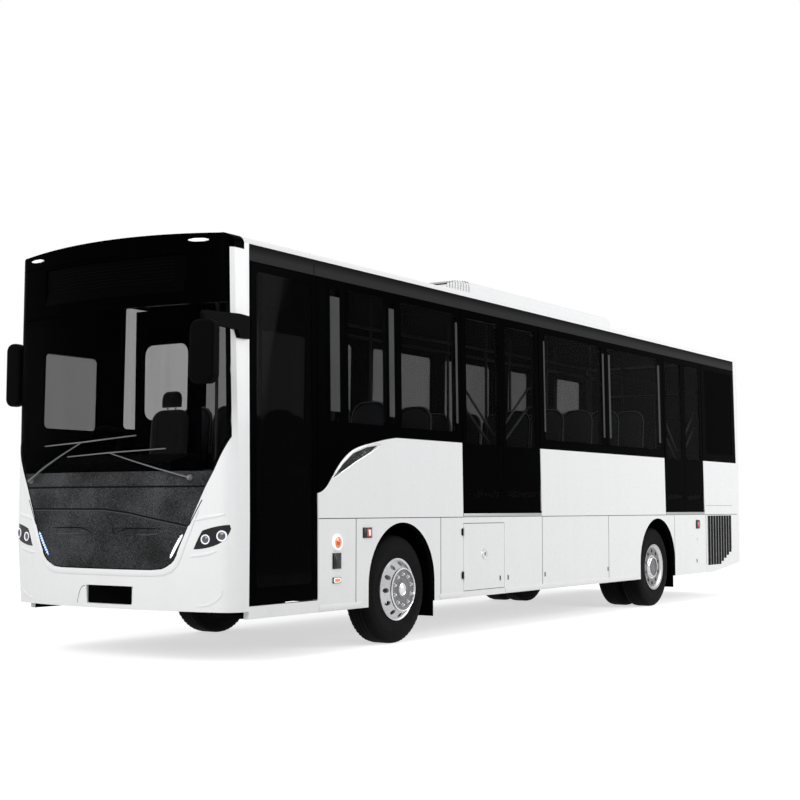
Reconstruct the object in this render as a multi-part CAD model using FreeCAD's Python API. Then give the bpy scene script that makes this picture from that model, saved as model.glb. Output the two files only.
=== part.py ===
import FreeCAD, Part
import math
import os

# City bus with a high flat floor, in millimetres.
# The nose faces -Y, +X is the kerb side with the doors, +Z is up.
# The origin is on the ground at the middle of the whole vehicle's box.

V = FreeCAD.Vector

# Overall plan
WHEELBASE = 6000.0
NOSE_OVERHANG = 2630.0          # front axle to the nose
REAR_OVERHANG = 3200.0          # rear axle to the tail
MIRROR_AHEAD = 300.0            # nose to the front of the kerb mirror
HINGE_PROUD = 15.0              # tail to the back of the engine lid's hinges
MIRROR_REACH = 1430.0           # middle plane to the outside of each mirror
HALF_WIDTH = 1250.0
SIDE_LEAN = 35.0                # how far each side leans in between waist and roof edge
WALL = 55.0                     # thickness of the side walls, roof and rear wall
FRONT_BOW_RADIUS = 4600.0
FRONT_CORNER_RADIUS = 170.0
REAR_BOW_RADIUS = 8000.0
REAR_CORNER_RADIUS = 150.0
NOSE_LEAN_TOP = 8.0             # how far the front leans back at the roof
NOSE_TUCK = 70.0                # how far the bumper's foot goes back

# Heights above the ground
SKIRT_Z = 368.0
TAIL_SKIRT_Z = 465.0
BUMPER_Z = 430.0
NOSE_Z = 950.0
WAIST_Z = 1164.0                # groove between the skirts and the waist panels
BELT_Z = 1905.0                 # top of the white waist panels
CANT_Z = 3262.0                 # top of the window band
ROOF_EDGE_Z = 3400.0
ROOF_SHOULDER = 95.0
ROOF_SHOULDER_RISE = 62.0
ROOF_TOP_Z = 3492.0
FLOOR_Z = 1200.0
FLOOR_THICK = 45.0
RAIL_TOP_Z = 880.0
RAIL_HEIGHT = 230.0

# Distances behind the front axle
FRONT_POST_BACK = -2240.0       # rear edge of the white corner post
ENTRY_BACK = -1320.0            # rear edge of the front doorway
MID_DOOR_FRONT = 1106.0
MID_DOOR_BACK = 2790.0
REAR_DOOR_FRONT = 6270.0
REAR_DOOR_BACK = 7640.0
TAIL_CORNER = 8930.0            # side walls end and the rear wall begins
CAP_DEPTH = 330.0               # black cap over the front, nose to the roof panel

# Openings and doors
ENTRY_SILL_Z = 470.0
DOOR_SILL_Z = 1225.0
DOOR_THICK = 44.0
DOOR_GAP = 6.0
DOOR_TOP_GAP = 8.0
DOOR_FOOT_GAP = 14.0
DOOR_FRAME = 70.0
DOOR_KICK = 60.0                # extra height of the leaf's solid foot
HINGE_PIN = 8.0
PIN_BITE = 24.0                 # how far a leaf's pins reach into the roof and sill
LEAF_RAIL_OUT = 48.0
LEAF_RAIL_RADIUS = 13.0
LEAF_FOOT_RADIUS = 6.5
LEAF_FOOT_INSET = 9.0           # end of a grab rail to its foot
LEAF_RAIL_JAMB_END = 56.0       # pivot to the high end of each grab rail
LEAF_RAIL_FREE_END = 30.0       # low end of each grab rail to the leaf's free edge
LEAF_RAIL_HEIGHTS = [(1130.0, 620.0), (1335.0, 780.0)]

# Arches and wheels
WHEEL_RADIUS = 500.0
TYRE_WIDTH = 275.0
TYRE_FLATS = 60
WHEEL_FACE = 1190.0             # outer side of the tyres
RIM_RADIUS = 297.0
TWIN_GAP = 45.0
ARCH_RADIUS = 560.0
ARCH_LIFT = 60.0                # arch centre above the wheel centre
LINER_RADIUS = 615.0
LINER_THICK = 8.0
LINER_INNER_X = 560.0
LINER_FOOT_Z = 420.0
MUDFLAP_Z = 215.0
KINGPIN_X = 905.0
SPINDLE_RADIUS = 42.0
RUNNING_GAP = 0.5

# Side glazing
GLASS_THICK = 8.0
GLASS_INSET = 4.0
GLASS_GAP = 0.3
WINDOW_SILL_Z = 2010.0
WINDOW_HEAD_Z = 3190.0

# Number plate recesses
NOSE_FOOT_Z = 100.0             # level where the nose is set back by its whole tuck
PLATE_X = 62.0                  # middle of the front plate's recess
PLATE_HALF = 262.0
PLATE_RECESS = 24.0
PLATE_FOOT_Z = 466.0
PLATE_HEAD_Z = 618.0
PLATE_HOLE_X = 210.0
PLATE_HOLE_RADIUS = 4.0

# Front face, seen from ahead
SCREEN_HALF_TOP = 1188.0
SCREEN_HALF_MID = 1214.0
SCREEN_MID_Z = 1820.0
SCREEN_FOOT_Z = 1554.0
SCREEN_FOOT_HALF = 1091.0
SCREEN_HEAD_Z = 2900.0
CAP_Z = 3345.0
SCUTTLE_Z = 1423.0
SCUTTLE_HALF = 1019.0
MASK_KNEE = (764.0, 885.0)      # round lower corner of the face, as (x, z)
MASK_TURN = (700.0, 806.0)
MASK_FOOT = (520.0, 757.0)
FACE_GAP = 4.0
SCREEN_SET = 3.0                # glass and display panel behind the body's form
GRILLE_SET = 6.0
SCUTTLE_SET = 12.0
RECESS_DEPTH = 12.0
LIP_SET = 40.0                  # front of the ledge that the face panels sit on
LIP_WIDTH = 38.0

# Chassis
JACK_BACK = [-650.0, 5150.0]
JACK_HALF = 60.0
JACK_DROP = 22.0
TOW_BACK = 60.0                 # front of the rails to the towing eye
TOW_HALF = 45.0
TOW_Z = 470.0
TOW_THICK = 40.0
TOW_RADIUS = 20.0
RAIL_X = 430.0
RAIL_WIDTH = 80.0
BEAM_BACK = [-2450.0, -900.0, 800.0, 2000.0, 3300.0, 4900.0, 6900.0, 8700.0]
BEAM_HALF = 40.0
BEARER_BACK = [-900.0, 800.0, 2000.0, 3300.0, 4900.0, 6900.0, 8800.0]
BEARER_HALF = 30.0
ENTRY_BEARER_BACK = -2020.0

FRONT_AXLE_Y = (NOSE_OVERHANG + MIRROR_AHEAD - WHEELBASE - REAR_OVERHANG - HINGE_PROUD) / 2.0
REAR_AXLE_Y = FRONT_AXLE_Y + WHEELBASE
NOSE_Y = FRONT_AXLE_Y - NOSE_OVERHANG
TAIL_Y = REAR_AXLE_Y + REAR_OVERHANG
MIRROR_FRONT_Y = NOSE_Y - MIRROR_AHEAD
RAIL_FRONT_Y = NOSE_Y + 150.0
RAIL_BACK_Y = TAIL_Y - 260.0
BIG = 3000.0


def at(distance):
    # Place on Y from a distance behind the front axle.
    return FRONT_AXLE_Y + distance


def box(x0, x1, y0, y1, z0, z1):
    return Part.makeBox(abs(x1 - x0), abs(y1 - y0), abs(z1 - z0), V(min(x0, x1), min(y0, y1), min(z0, z1)))


def fuse(shapes):
    whole = shapes[0]
    if len(shapes) > 1:
        whole = shapes[0].multiFuse(shapes[1:])
    return whole.removeSplitter()


def cut(shape, tools):
    return shape.cut(tools) if tools else shape


def cylinder(centre, direction, radius, length):
    return Part.makeCylinder(radius, length, centre, direction)


def rod(start, end, radius):
    return Part.makeCylinder(radius, end.sub(start).Length, start, end.sub(start))


def across_x(points, x0, x1):
    # Profile of (y, z) points, carried along X.
    face = Part.Face(Part.makePolygon([V(x0, y, z) for y, z in points + points[:1]]))
    return face.extrude(V(x1 - x0, 0, 0))


def across_y(points, y0, y1):
    # Profile of (x, z) points, carried along Y.
    face = Part.Face(Part.makePolygon([V(x, y0, z) for x, z in points + points[:1]]))
    return face.extrude(V(0, y1 - y0, 0))


def turned_x(points, x0, y, z):
    # Ring or disc about an axle along X, from (distance along X, radius) points.
    wire = Part.makePolygon([V(x0 + a, y, z + r) for a, r in points + points[:1]])
    return Part.Face(wire).revolve(V(0, y, z), V(1, 0, 0), 360)


def save(name, shapes):
    solids = []
    for shape in shapes if isinstance(shapes, list) else [shapes]:
        solids.extend(shape.Solids)
    whole = solids[0] if len(solids) == 1 else Part.makeCompound(solids)
    whole.exportStep(os.path.join("parts", name + ".step"))
    print(name, len(solids), round(sum(s.Volume for s in solids) / 1e9, 5), whole.isValid())
    return whole


# Outer form of the body

def section(inset):
    half = HALF_WIDTH - inset
    top_half = half - SIDE_LEAN
    rise = ROOF_SHOULDER_RISE - inset * 0.5
    inner = top_half - ROOF_SHOULDER
    edge = ROOF_EDGE_Z - inset * 0.3
    right = [V(half, 0, 0), V(half, 0, WAIST_Z), V(top_half, 0, edge)]
    bulge = V(top_half - 0.29 * ROOF_SHOULDER, 0, edge + 0.71 * rise)
    shoulder = V(inner, 0, edge + rise)
    crown = V(0, 0, ROOF_TOP_Z - inset)

    def flip(p):
        return V(-p.x, p.y, p.z)

    edges = [Part.makeLine(right[0], right[1]), Part.makeLine(right[1], right[2])]
    edges.append(Part.Arc(right[2], bulge, shoulder).toShape())
    edges.append(Part.Arc(shoulder, crown, flip(shoulder)).toShape())
    edges.append(Part.Arc(flip(shoulder), flip(bulge), flip(right[2])).toShape())
    edges.append(Part.makeLine(flip(right[2]), flip(right[1])))
    edges.append(Part.makeLine(flip(right[1]), flip(right[0])))
    edges.append(Part.makeLine(flip(right[0]), right[0]))
    face = Part.Face(Part.Wire(edges))
    face.translate(V(0, NOSE_Y - BIG, 0))
    return face.extrude(V(0, TAIL_Y - NOSE_Y + 2 * BIG, 0))


def bow_end(half, end_y, bow, corner, inward):
    # Points of one end in plan: side, corner middle, bow edge and the bow's own middle.
    along = math.sqrt((bow - corner) ** 2 - (half - corner) ** 2)
    centre_y = end_y + inward * (bow - along)
    slope = math.asin((half - corner) / (bow - corner))
    turn = (math.pi / 2 - slope) / 2 + slope
    side = (half, centre_y)
    middle = (half - corner + corner * math.sin(turn), centre_y - inward * corner * math.cos(turn))
    bow_edge = (half - corner + corner * math.sin(slope), centre_y - inward * corner * math.cos(slope))
    return side, middle, bow_edge, (0.0, end_y)


def plan_wire(z, nose_y, inset):
    half = HALF_WIDTH - inset
    front = bow_end(half, nose_y + inset, FRONT_BOW_RADIUS - inset, FRONT_CORNER_RADIUS - inset, 1)
    rear = bow_end(half, TAIL_Y - inset, REAR_BOW_RADIUS - inset, REAR_CORNER_RADIUS - inset, -1)

    def point(p, mirrored=False):
        return V(-p[0] if mirrored else p[0], p[1], z)

    edges = []
    for side, middle, edge, tip in (front, rear):
        edges.append(Part.Arc(point(side), point(middle), point(edge)).toShape())
        edges.append(Part.Arc(point(edge), point(tip), point(edge, True)).toShape())
        edges.append(Part.Arc(point(edge, True), point(middle, True), point(side, True)).toShape())
    edges.append(Part.makeLine(point(front[0]), point(rear[0])))
    edges.append(Part.makeLine(point(front[0], True), point(rear[0], True)))
    return Part.Wire(Part.__sortEdges__(edges))


def hull(inset):
    levels = [(NOSE_FOOT_Z, NOSE_Y + NOSE_TUCK), (NOSE_Z, NOSE_Y), (3700.0, NOSE_Y + NOSE_LEAN_TOP)]
    wires = [plan_wire(z, y, inset) for z, y in levels]
    prism = Part.makeLoft(wires, True, True)
    return section(inset).common(prism)


def face_prism(z0, z1, grow):
    # Form of the dark U-shaped face seen from ahead, with round lower corners.
    def spot(p, way):
        return V(way * p[0], 0, p[1])

    slant = grow * math.sqrt(0.5)
    knee = (MASK_KNEE[0] + grow, MASK_KNEE[1])
    turn = (MASK_TURN[0] + slant, MASK_TURN[1] - slant)
    foot = (MASK_FOOT[0], MASK_FOOT[1] - grow)
    rise = [(SCUTTLE_HALF, SCUTTLE_Z), (SCREEN_FOOT_HALF, SCREEN_FOOT_Z), (SCREEN_HALF_MID, SCREEN_MID_Z)]
    rise += [(SCREEN_HALF_TOP, CAP_Z), (SCREEN_HALF_TOP, CAP_Z + BIG)]
    rise = [knee] + [(x + grow, z) for x, z in rise]
    head = rise[-1]
    edges = [Part.makeLine(spot(foot, -1), spot(foot, 1)), Part.makeLine(spot(head, 1), spot(head, -1))]
    for way in (1, -1):
        edges.append(Part.Arc(spot(foot, way), spot(turn, way), spot(knee, way)).toShape())
        edges += [Part.makeLine(spot(p, way), spot(q, way)) for p, q in zip(rise, rise[1:])]
    face = Part.Face(Part.Wire(Part.__sortEdges__(edges)))
    face.translate(V(0, NOSE_Y - 200, 0))
    prism = face.extrude(V(0, at(FRONT_POST_BACK) - NOSE_Y + 199, 0))
    return prism.common(box(-BIG, BIG, NOSE_Y - 300, at(FRONT_POST_BACK), z0, z1))


# Window places along each side, as distances behind the front axle

KERB_WINDOWS = [(-1260.0, -985.0), (-915.0, -225.0), (-135.0, 1010.0), (2920.0, 4400.0), (4540.0, 6140.0)]
KERB_WINDOWS += [(7770.0, 8800.0)]
ROAD_WINDOWS = [(-1190.0, -230.0), (0.0, 1732.0), (1950.0, 2650.0), (3040.0, 4423.0), (4720.0, 5972.0)]
ROAD_WINDOWS += [(6430.0, 7060.0), (7945.0, 8790.0)]
DRIVER_WINDOW = (-2190.0, -1510.0, 1970.0, 2650.0)
WINDOW_CORNER = 45.0


def window_tools(side, grow):
    places = [(a, b, WINDOW_SILL_Z, WINDOW_HEAD_Z) for a, b in (KERB_WINDOWS if side > 0 else ROAD_WINDOWS)]
    if side < 0:
        places.append(DRIVER_WINDOW)
    tools = []
    for a, b, sill, head in places:
        y0, y1 = at(a) - grow, at(b) + grow
        x = side * (HALF_WIDTH + 50)
        pane = box(side * 900, x, y0, y1, sill - grow, head + grow)
        edges = [e for e in pane.Edges if abs(e.tangentAt(e.FirstParameter).x) > 0.9]
        tools.append(pane.makeFillet(WINDOW_CORNER + grow, edges))
    return tools


def doorway_tools():
    wide = HALF_WIDTH + 60
    top = CANT_Z
    tools = [box(1000, wide, at(FRONT_POST_BACK), at(ENTRY_BACK), ENTRY_SILL_Z, top)]
    tools.append(box(1000, wide, at(MID_DOOR_FRONT), at(MID_DOOR_BACK), DOOR_SILL_Z, top))
    tools.append(box(1000, wide, at(REAR_DOOR_FRONT), at(REAR_DOOR_BACK), DOOR_SILL_Z, top))
    return tools


SWOOSH_LOW_Z = 1383.0
SWOOSH_HIGH = -90.0
SWOOSH_KNOTS = [(-1217.0, 1424.0), (-1091.0, 1551.0), (-950.0, 1682.0), (-793.0, 1771.0)]
SWOOSH_KNOTS += [(-523.0, 1837.0), (-271.0, 1882.0)]
CRESCENT_TIPS = [(-1104.0, 1513.0), (-356.0, 1836.0)]
CRESCENT_UPPER = [(-950.0, 1644.0), (-793.0, 1743.0), (-578.0, 1805.0)]
CRESCENT_LOWER = [(-950.0, 1576.0), (-739.0, 1668.0), (-522.0, 1752.0)]
CRESCENT_DEPTH = 10.0


def curve_through(points):
    curve = Part.BSplineCurve()
    curve.interpolate(points)
    return curve.toShape()


def crescent_recess():
    # Shallow crescent pressed into the swept panel, under its upper edge.
    first, last = [V(900, at(d), z) for d, z in CRESCENT_TIPS]
    upper = [V(900, at(d), z) for d, z in CRESCENT_UPPER]
    lower = [V(900, at(d), z) for d, z in CRESCENT_LOWER]
    edges = [curve_through([first] + upper + [last]), curve_through([first] + lower + [last])]
    face = Part.Face(Part.Wire(Part.__sortEdges__(edges)))
    return face.extrude(V(600, 0, 0)).cut(hull(CRESCENT_DEPTH))


def swoosh_prism():
    # Front kerb waist panel: its top sweeps down to the doorway.
    start = V(0, at(ENTRY_BACK), WAIST_Z)
    low = V(0, at(ENTRY_BACK), SWOOSH_LOW_Z)
    high = V(0, at(SWOOSH_HIGH), BELT_Z)
    end = V(0, at(MID_DOOR_FRONT), BELT_Z)
    sweep = curve_through([low] + [V(0, at(d), z) for d, z in SWOOSH_KNOTS] + [high])
    edges = [Part.makeLine(start, low), sweep, Part.makeLine(high, end)]
    foot = V(0, at(MID_DOOR_FRONT), WAIST_Z)
    edges += [Part.makeLine(end, foot), Part.makeLine(foot, start)]
    face = Part.Face(Part.Wire(edges))
    face.translate(V(900, 0, 0))
    return face.extrude(V(600, 0, 0))


def waist_tools(side):
    if side < 0:
        return [box(-BIG, -900, at(FRONT_POST_BACK), at(TAIL_CORNER), WAIST_Z, BELT_Z)]
    tools = [swoosh_prism()]
    tools.append(box(900, BIG, at(MID_DOOR_BACK), at(REAR_DOOR_FRONT), WAIST_Z, BELT_Z))
    tools.append(box(900, BIG, at(REAR_DOOR_BACK), at(TAIL_CORNER), WAIST_Z, BELT_Z))
    return tools


def arch_tool(y):
    z = WHEEL_RADIUS + ARCH_LIFT
    round_part = cylinder(V(-BIG, y, z), V(1, 0, 0), ARCH_RADIUS, 2 * BIG)
    return fuse([round_part, box(-BIG, BIG, y - ARCH_RADIUS, y + ARCH_RADIUS, -10, z)])


FLAP_FRONT = 1106.0
FLAP_BACK = 1946.0
SKIRT_SEAMS = [-757.0, 676.0, 2800.0, 4510.0, 6558.0, 7680.0]
ROAD_SEAMS = [-1320.0, -757.0, 676.0, 1946.0, 3400.0, 4510.0, 6558.0, 7680.0]
ROOF_JOINT = -1358.0
SEAM_WIDTH = 7.0
SEAM_DEPTH = 8.0


def skirt(shell, side):
    y0, y1 = at(FRONT_POST_BACK), at(TAIL_CORNER)
    part = shell.common(box(0, side * BIG, y0, y1, SKIRT_Z, WAIST_Z - 2))
    tools = [arch_tool(FRONT_AXLE_Y), arch_tool(REAR_AXLE_Y)]
    rise = across_x([(at(7950), SKIRT_Z - 1), (at(TAIL_CORNER) + 1, SKIRT_Z - 1),
                     (at(TAIL_CORNER) + 1, TAIL_SKIRT_Z)], side * 900, side * BIG)
    tools.append(rise)
    groove_x = side * (HALF_WIDTH - SEAM_DEPTH)
    for d in SKIRT_SEAMS if side > 0 else ROAD_SEAMS:
        tools.append(box(groove_x, side * BIG, at(d) - SEAM_WIDTH / 2, at(d) + SEAM_WIDTH / 2, 0, WAIST_Z))
    if side > 0:
        tools.append(box(900, BIG, y0 - 1, at(ENTRY_BACK), ENTRY_SILL_Z, WAIST_Z))
        tools += all_hinge_bores()
        tools.append(box(900, BIG, at(FLAP_FRONT), at(FLAP_BACK), SKIRT_Z + 60, WAIST_Z - 60))
    tools.append(grille_pocket(side))
    part = cut(part, tools)
    return fuse([part] + [fixed for fixed, moving in flap_hinges()]) if side > 0 else part


GRILLE_FRONT = 7745.0
GRILLE_BACK = 8665.0
SLAT_COUNT = 9
SLAT_DEPTH = 26.0
SLAT_SHARE = 0.3                # part of each pitch taken by the slat
GRILLE_HEAD_Z = 1149.0
GRILLE_FOOT_Z = 466.0
GRILLE_LEVEL_SLOTS = 5          # the slots behind these step up with the tail
GRILLE_STEP = 40.0


def grille_pocket(side):
    # Slots of the engine bay grille in the rear skirt.
    pitch = (GRILLE_BACK - GRILLE_FRONT) / SLAT_COUNT
    x0, x1 = side * (HALF_WIDTH - SLAT_DEPTH), side * BIG
    slots = []
    for i in range(SLAT_COUNT):
        y0 = at(GRILLE_FRONT) + i * pitch
        foot = GRILLE_FOOT_Z + max(0, i - GRILLE_LEVEL_SLOTS + 1) * GRILLE_STEP
        slots.append(box(x0, x1, y0 + pitch * SLAT_SHARE, y0 + pitch, foot, GRILLE_HEAD_Z))
    return Part.makeCompound(slots)


def butt_hinge(centre, along, outward, swing):
    # Barrel hinge: the fixed half holds the pin, the moving half turns on it.
    # swing points from the pin towards the moving leaf, along the surface.
    r = BUTT_RADIUS
    third = BUTT_LENGTH / 3
    fixed, moving = [], []
    for i, group in ((-1, fixed), (0, moving), (1, fixed)):
        low = centre + along * (i * third - third / 2 + BUTT_GAP / 2)
        length = third - BUTT_GAP
        group.append(cylinder(low, along, r, length))
        way = swing if group is moving else swing * -1
        corner = low - outward * r
        edges = [corner, corner + along * length, corner + along * length + way * BUTT_LEAF, corner + way * BUTT_LEAF]
        plate = Part.Face(Part.makePolygon(edges + edges[:1])).extrude(outward * BUTT_PLATE)
        group.append(plate)
    pin = cylinder(centre - along * (BUTT_LENGTH / 2), along, BUTT_PIN, BUTT_LENGTH)
    bore = cylinder(centre - along * BUTT_LENGTH, along, BUTT_PIN + GLASS_GAP, 2 * BUTT_LENGTH)
    return fuse(fixed + [pin]), fuse(moving).cut(bore)


BUTT_RADIUS = 9.0
BUTT_LENGTH = 96.0
BUTT_GAP = 1.0
BUTT_LEAF = 42.0
BUTT_PLATE = 4.0
BUTT_PIN = 4.0
FLAP_HINGE_Z = (585.0, 1015.0)
FLAP_HINGE_X = HALF_WIDTH + BUTT_RADIUS
FLAP_HINGE_BACK = FLAP_FRONT + DOOR_GAP / 2
LID_HINGE_X = 520.0
LID_HINGE_Y = TAIL_Y + HINGE_PROUD - BUTT_RADIUS


def flap_hinges():
    pairs = []
    for z in FLAP_HINGE_Z:
        centre = V(FLAP_HINGE_X, at(FLAP_HINGE_BACK), z)
        pairs.append(butt_hinge(centre, V(0, 0, 1), V(1, 0, 0), V(0, 1, 0)))
    return pairs


def lid_hinges():
    pairs = []
    for x in (-LID_HINGE_X, LID_HINGE_X):
        centre = V(x, LID_HINGE_Y, LID_HEAD_Z - DOOR_GAP / 2)
        fixed, moving = butt_hinge(centre, V(1, 0, 0), V(0, 1, 0), V(0, 0, -1))
        packing = box(x - BUTT_LENGTH / 2 + BUTT_GAP, x + BUTT_LENGTH / 2 - BUTT_GAP, TAIL_Y - 30,
                      LID_HINGE_Y - BUTT_RADIUS, LID_HEAD_Z, LID_HEAD_Z + BUTT_LEAF - DOOR_GAP)
        low_packing = box(x - BUTT_LENGTH / 6 + BUTT_GAP, x + BUTT_LENGTH / 6 - BUTT_GAP, TAIL_Y - 30,
                          LID_HINGE_Y - BUTT_RADIUS, LID_HEAD_Z - BUTT_LEAF, LID_HEAD_Z - DOOR_GAP)
        pairs.append((fuse([fixed, packing]), fuse([moving, low_packing])))
    return pairs


def service_flap():
    # Hinged flap in the kerb skirt, with the filler cap's ring on it.
    gap = DOOR_GAP
    leaf = box(HALF_WIDTH - 34, HALF_WIDTH, at(FLAP_FRONT) + gap, at(FLAP_BACK) - gap,
               SKIRT_Z + 60 + gap, WAIST_Z - 60 - gap)
    cap = cylinder(V(HALF_WIDTH - 2, at(1530), 788), V(1, 0, 0), 52, 12)
    cap = cap.cut(cylinder(V(HALF_WIDTH + 4, at(1530), 788), V(1, 0, 0), 38, 12))
    return fuse([leaf, cap] + [moving for fixed, moving in flap_hinges()])


def wall_region(shell, side):
    region = box(0, side * BIG, at(FRONT_POST_BACK), at(TAIL_CORNER), WAIST_Z, CANT_Z)
    part = shell.common(region)
    return cut(part, doorway_tools()) if side > 0 else part


def waist_panels(shell):
    panels = []
    for side in (1, -1):
        for tool in waist_tools(side):
            panels.append(wall_region(shell, side).common(tool))
    panels[0] = panels[0].cut(crescent_recess())
    return panels


def window_bands(shell):
    bands = []
    for side in (1, -1):
        part = wall_region(shell, side)
        tools = waist_tools(side) + window_tools(side, 0)
        bands.append(cut(part, tools + all_hinge_bores() if side > 0 else tools))
    return bands


def side_glass():
    skin = hull(GLASS_INSET).cut(hull(GLASS_INSET + GLASS_THICK))
    panes = []
    for side in (1, -1):
        for tool in window_tools(side, -GLASS_GAP):
            panes.append(skin.common(tool))
    return panes


# Roof

POD_HALF = 950.0
POD_FRONT = 1210.0
POD_BACK = 5300.0
POD_TOP_Z = 3655.0
POD_NOSE = [(1210.0, 3505.0), (1300.0, 3575.0), (1480.0, 3625.0), (1750.0, 3655.0)]
LOUVRE_COUNT = 9
LOUVRE_PITCH = 56.0
LOUVRE_WIDTH = 26.0
LOUVRE_DEPTH = 24.0
LOUVRE_FRONT = 1262.0
LOUVRE_SLANT = 20.0
LOUVRE_FOOT_Z = 3530.0
POD_CORNER = 60.0


def roof(shell):
    part = shell.common(box(-BIG, BIG, at(FRONT_POST_BACK), TAIL_Y + 100, CANT_Z, 4000))
    part = part.fuse(shell.common(box(-BIG, BIG, NOSE_Y + CAP_DEPTH, at(FRONT_POST_BACK), CAP_Z, 4000)))
    tools = [box(-BIG, BIG, at(TAIL_CORNER), TAIL_Y + 200, 0, ROOF_EDGE_Z)]
    return cut(part.removeSplitter(), tools + [cant_region(side) for side in (1, -1)])


def cant_region(side):
    return box(side * 900, side * BIG, at(FRONT_POST_BACK), at(TAIL_CORNER), CANT_Z - 1, ROOF_EDGE_Z)


def cant_rails(shell):
    # Long rail on each side over the doors and windows, with a seam at the front roof joint.
    rails = []
    for side in (1, -1):
        rail = shell.common(cant_region(side)).common(box(-BIG, BIG, -2 * BIG, 2 * BIG + BIG, CANT_Z, ROOF_EDGE_Z))
        groove = box(side * (HALF_WIDTH - SIDE_LEAN - SEAM_DEPTH), side * BIG, at(ROOF_JOINT) - SEAM_WIDTH / 2,
                     at(ROOF_JOINT) + SEAM_WIDTH / 2, 0, 2 * BIG)
        rails.append(cut(rail, [groove] + (all_hinge_bores() if side > 0 else [])))
    return rails


def front_cap(shell):
    return shell.common(box(-BIG, BIG, NOSE_Y - 100, NOSE_Y + CAP_DEPTH, CAP_Z, 4000))


def roof_pod():
    pod = box(-POD_HALF, POD_HALF, at(POD_FRONT), at(POD_BACK), 3300, POD_TOP_Z)
    edges = [e for e in pod.Edges if e.BoundBox.ZMin > POD_TOP_Z - 1]
    edges += [e for e in pod.Edges if abs(e.tangentAt(e.FirstParameter).z) > 0.9]
    pod = pod.makeFillet(POD_CORNER, edges)
    nose = [(at(d), z) for d, z in POD_NOSE]
    outline = nose + [(at(POD_BACK) + 1, POD_TOP_Z), (at(POD_BACK) + 1, 3300), (at(POD_FRONT), 3300)]
    pod = pod.common(across_x(outline, -BIG, BIG))
    core_line = [(y, z - LOUVRE_DEPTH) for y, z in nose] + [(at(POD_BACK), POD_TOP_Z - LOUVRE_DEPTH)]
    core_line += [(at(POD_BACK), 3300), (at(POD_FRONT), 3300)]
    core = across_x(core_line, -POD_HALF + LOUVRE_DEPTH, POD_HALF - LOUVRE_DEPTH)
    slots = []
    for i in range(LOUVRE_COUNT):
        y0 = at(LOUVRE_FRONT) + i * LOUVRE_PITCH
        line = [(y0, 3300), (y0 + LOUVRE_WIDTH, 3300)]
        top = y0 + LOUVRE_SLANT * (POD_TOP_Z + 10 - 3300) / (POD_TOP_Z - 3300)
        line += [(top + LOUVRE_WIDTH, POD_TOP_Z + 10), (top, POD_TOP_Z + 10)]
        slot = across_x(line, -POD_HALF - 1, POD_HALF + 1).cut(core)
        slots.append(slot.cut(box(-BIG, BIG, -BIG, BIG, 3000, LOUVRE_FOOT_Z)))
    return cut(pod, [hull(0)] + slots)


# Front

def front_mask(shell):
    part = shell.common(box(-BIG, BIG, NOSE_Y - 100, at(FRONT_POST_BACK), BUMPER_Z, CAP_Z))
    part = fuse([part.cut(face_prism(0, CAP_Z + 1, 0))] + face_lip())
    tools = [lamp_prism(side, GLASS_GAP) for side in (1, -1)]
    tuck = NOSE_TUCK * (NOSE_Z - PLATE_FOOT_Z) / (NOSE_Z - NOSE_FOOT_Z)
    tools.append(box(PLATE_X - PLATE_HALF, PLATE_X + PLATE_HALF, NOSE_Y - 100, NOSE_Y + tuck + PLATE_RECESS,
                     PLATE_FOOT_Z, PLATE_HEAD_Z))
    mid_z = (PLATE_FOOT_Z + PLATE_HEAD_Z) / 2
    for side in (1, -1):
        hole = V(PLATE_X + side * PLATE_HOLE_X, NOSE_Y, mid_z)
        tools.append(cylinder(hole, V(0, 1, 0), PLATE_HOLE_RADIUS, 2 * WALL))
    return cut(part, tools)


def face_panel(z0, z1, front_set, back_set):
    skin = hull(front_set).cut(hull(back_set))
    return skin.common(face_prism(z0, z1, -FACE_GAP))


def face_lip():
    # Ledge of the mask behind the edges of the dark face, which the panels and the glass sit on.
    ring = face_prism(MASK_FOOT[1], CAP_Z, 0).cut(face_prism(MASK_FOOT[1] + LIP_WIDTH, CAP_Z + 1, -LIP_WIDTH))
    back = hull(LIP_SET).cut(hull(WALL)).common(ring)
    glass_back = hull(SCREEN_SET + GLASS_THICK).cut(hull(WALL))
    glass_zone = box(-BIG, BIG, NOSE_Y - 300, TAIL_Y, SCREEN_FOOT_Z, SCREEN_HEAD_Z - FACE_GAP)
    return [back, glass_back.common(ring).common(glass_zone)]


def grille_panel():
    panel = face_panel(MASK_FOOT[1], SCUTTLE_Z - FACE_GAP, GRILLE_SET, LIP_SET)
    nostrils = []
    for side in (1, -1):
        points = [(side * 110, 1092), (side * 600, 1096), (side * 668, 1070), (side * 560, 1030)]
        points += [(side * 200, 1024), (side * 120, 1050)]
        nostrils.append(across_y(points, NOSE_Y - 100, NOSE_Y + 20))
    recess = hull(GRILLE_SET + RECESS_DEPTH)
    return panel.cut([n.cut(recess) for n in nostrils])


def scuttle_panel():
    return face_panel(SCUTTLE_Z, SCREEN_FOOT_Z - FACE_GAP, SCUTTLE_SET, LIP_SET)


def windscreen():
    return face_panel(SCREEN_FOOT_Z, SCREEN_HEAD_Z - FACE_GAP, SCREEN_SET, SCREEN_SET + GLASS_THICK)


def display_panel():
    panel = face_panel(SCREEN_HEAD_Z, CAP_Z - FACE_GAP, SCREEN_SET, LIP_SET)
    recess = box(-806, 806, NOSE_Y - 100, NOSE_Y + 300, 3010, 3318)
    return panel.cut(recess.cut(hull(SCREEN_SET + RECESS_DEPTH)))


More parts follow.
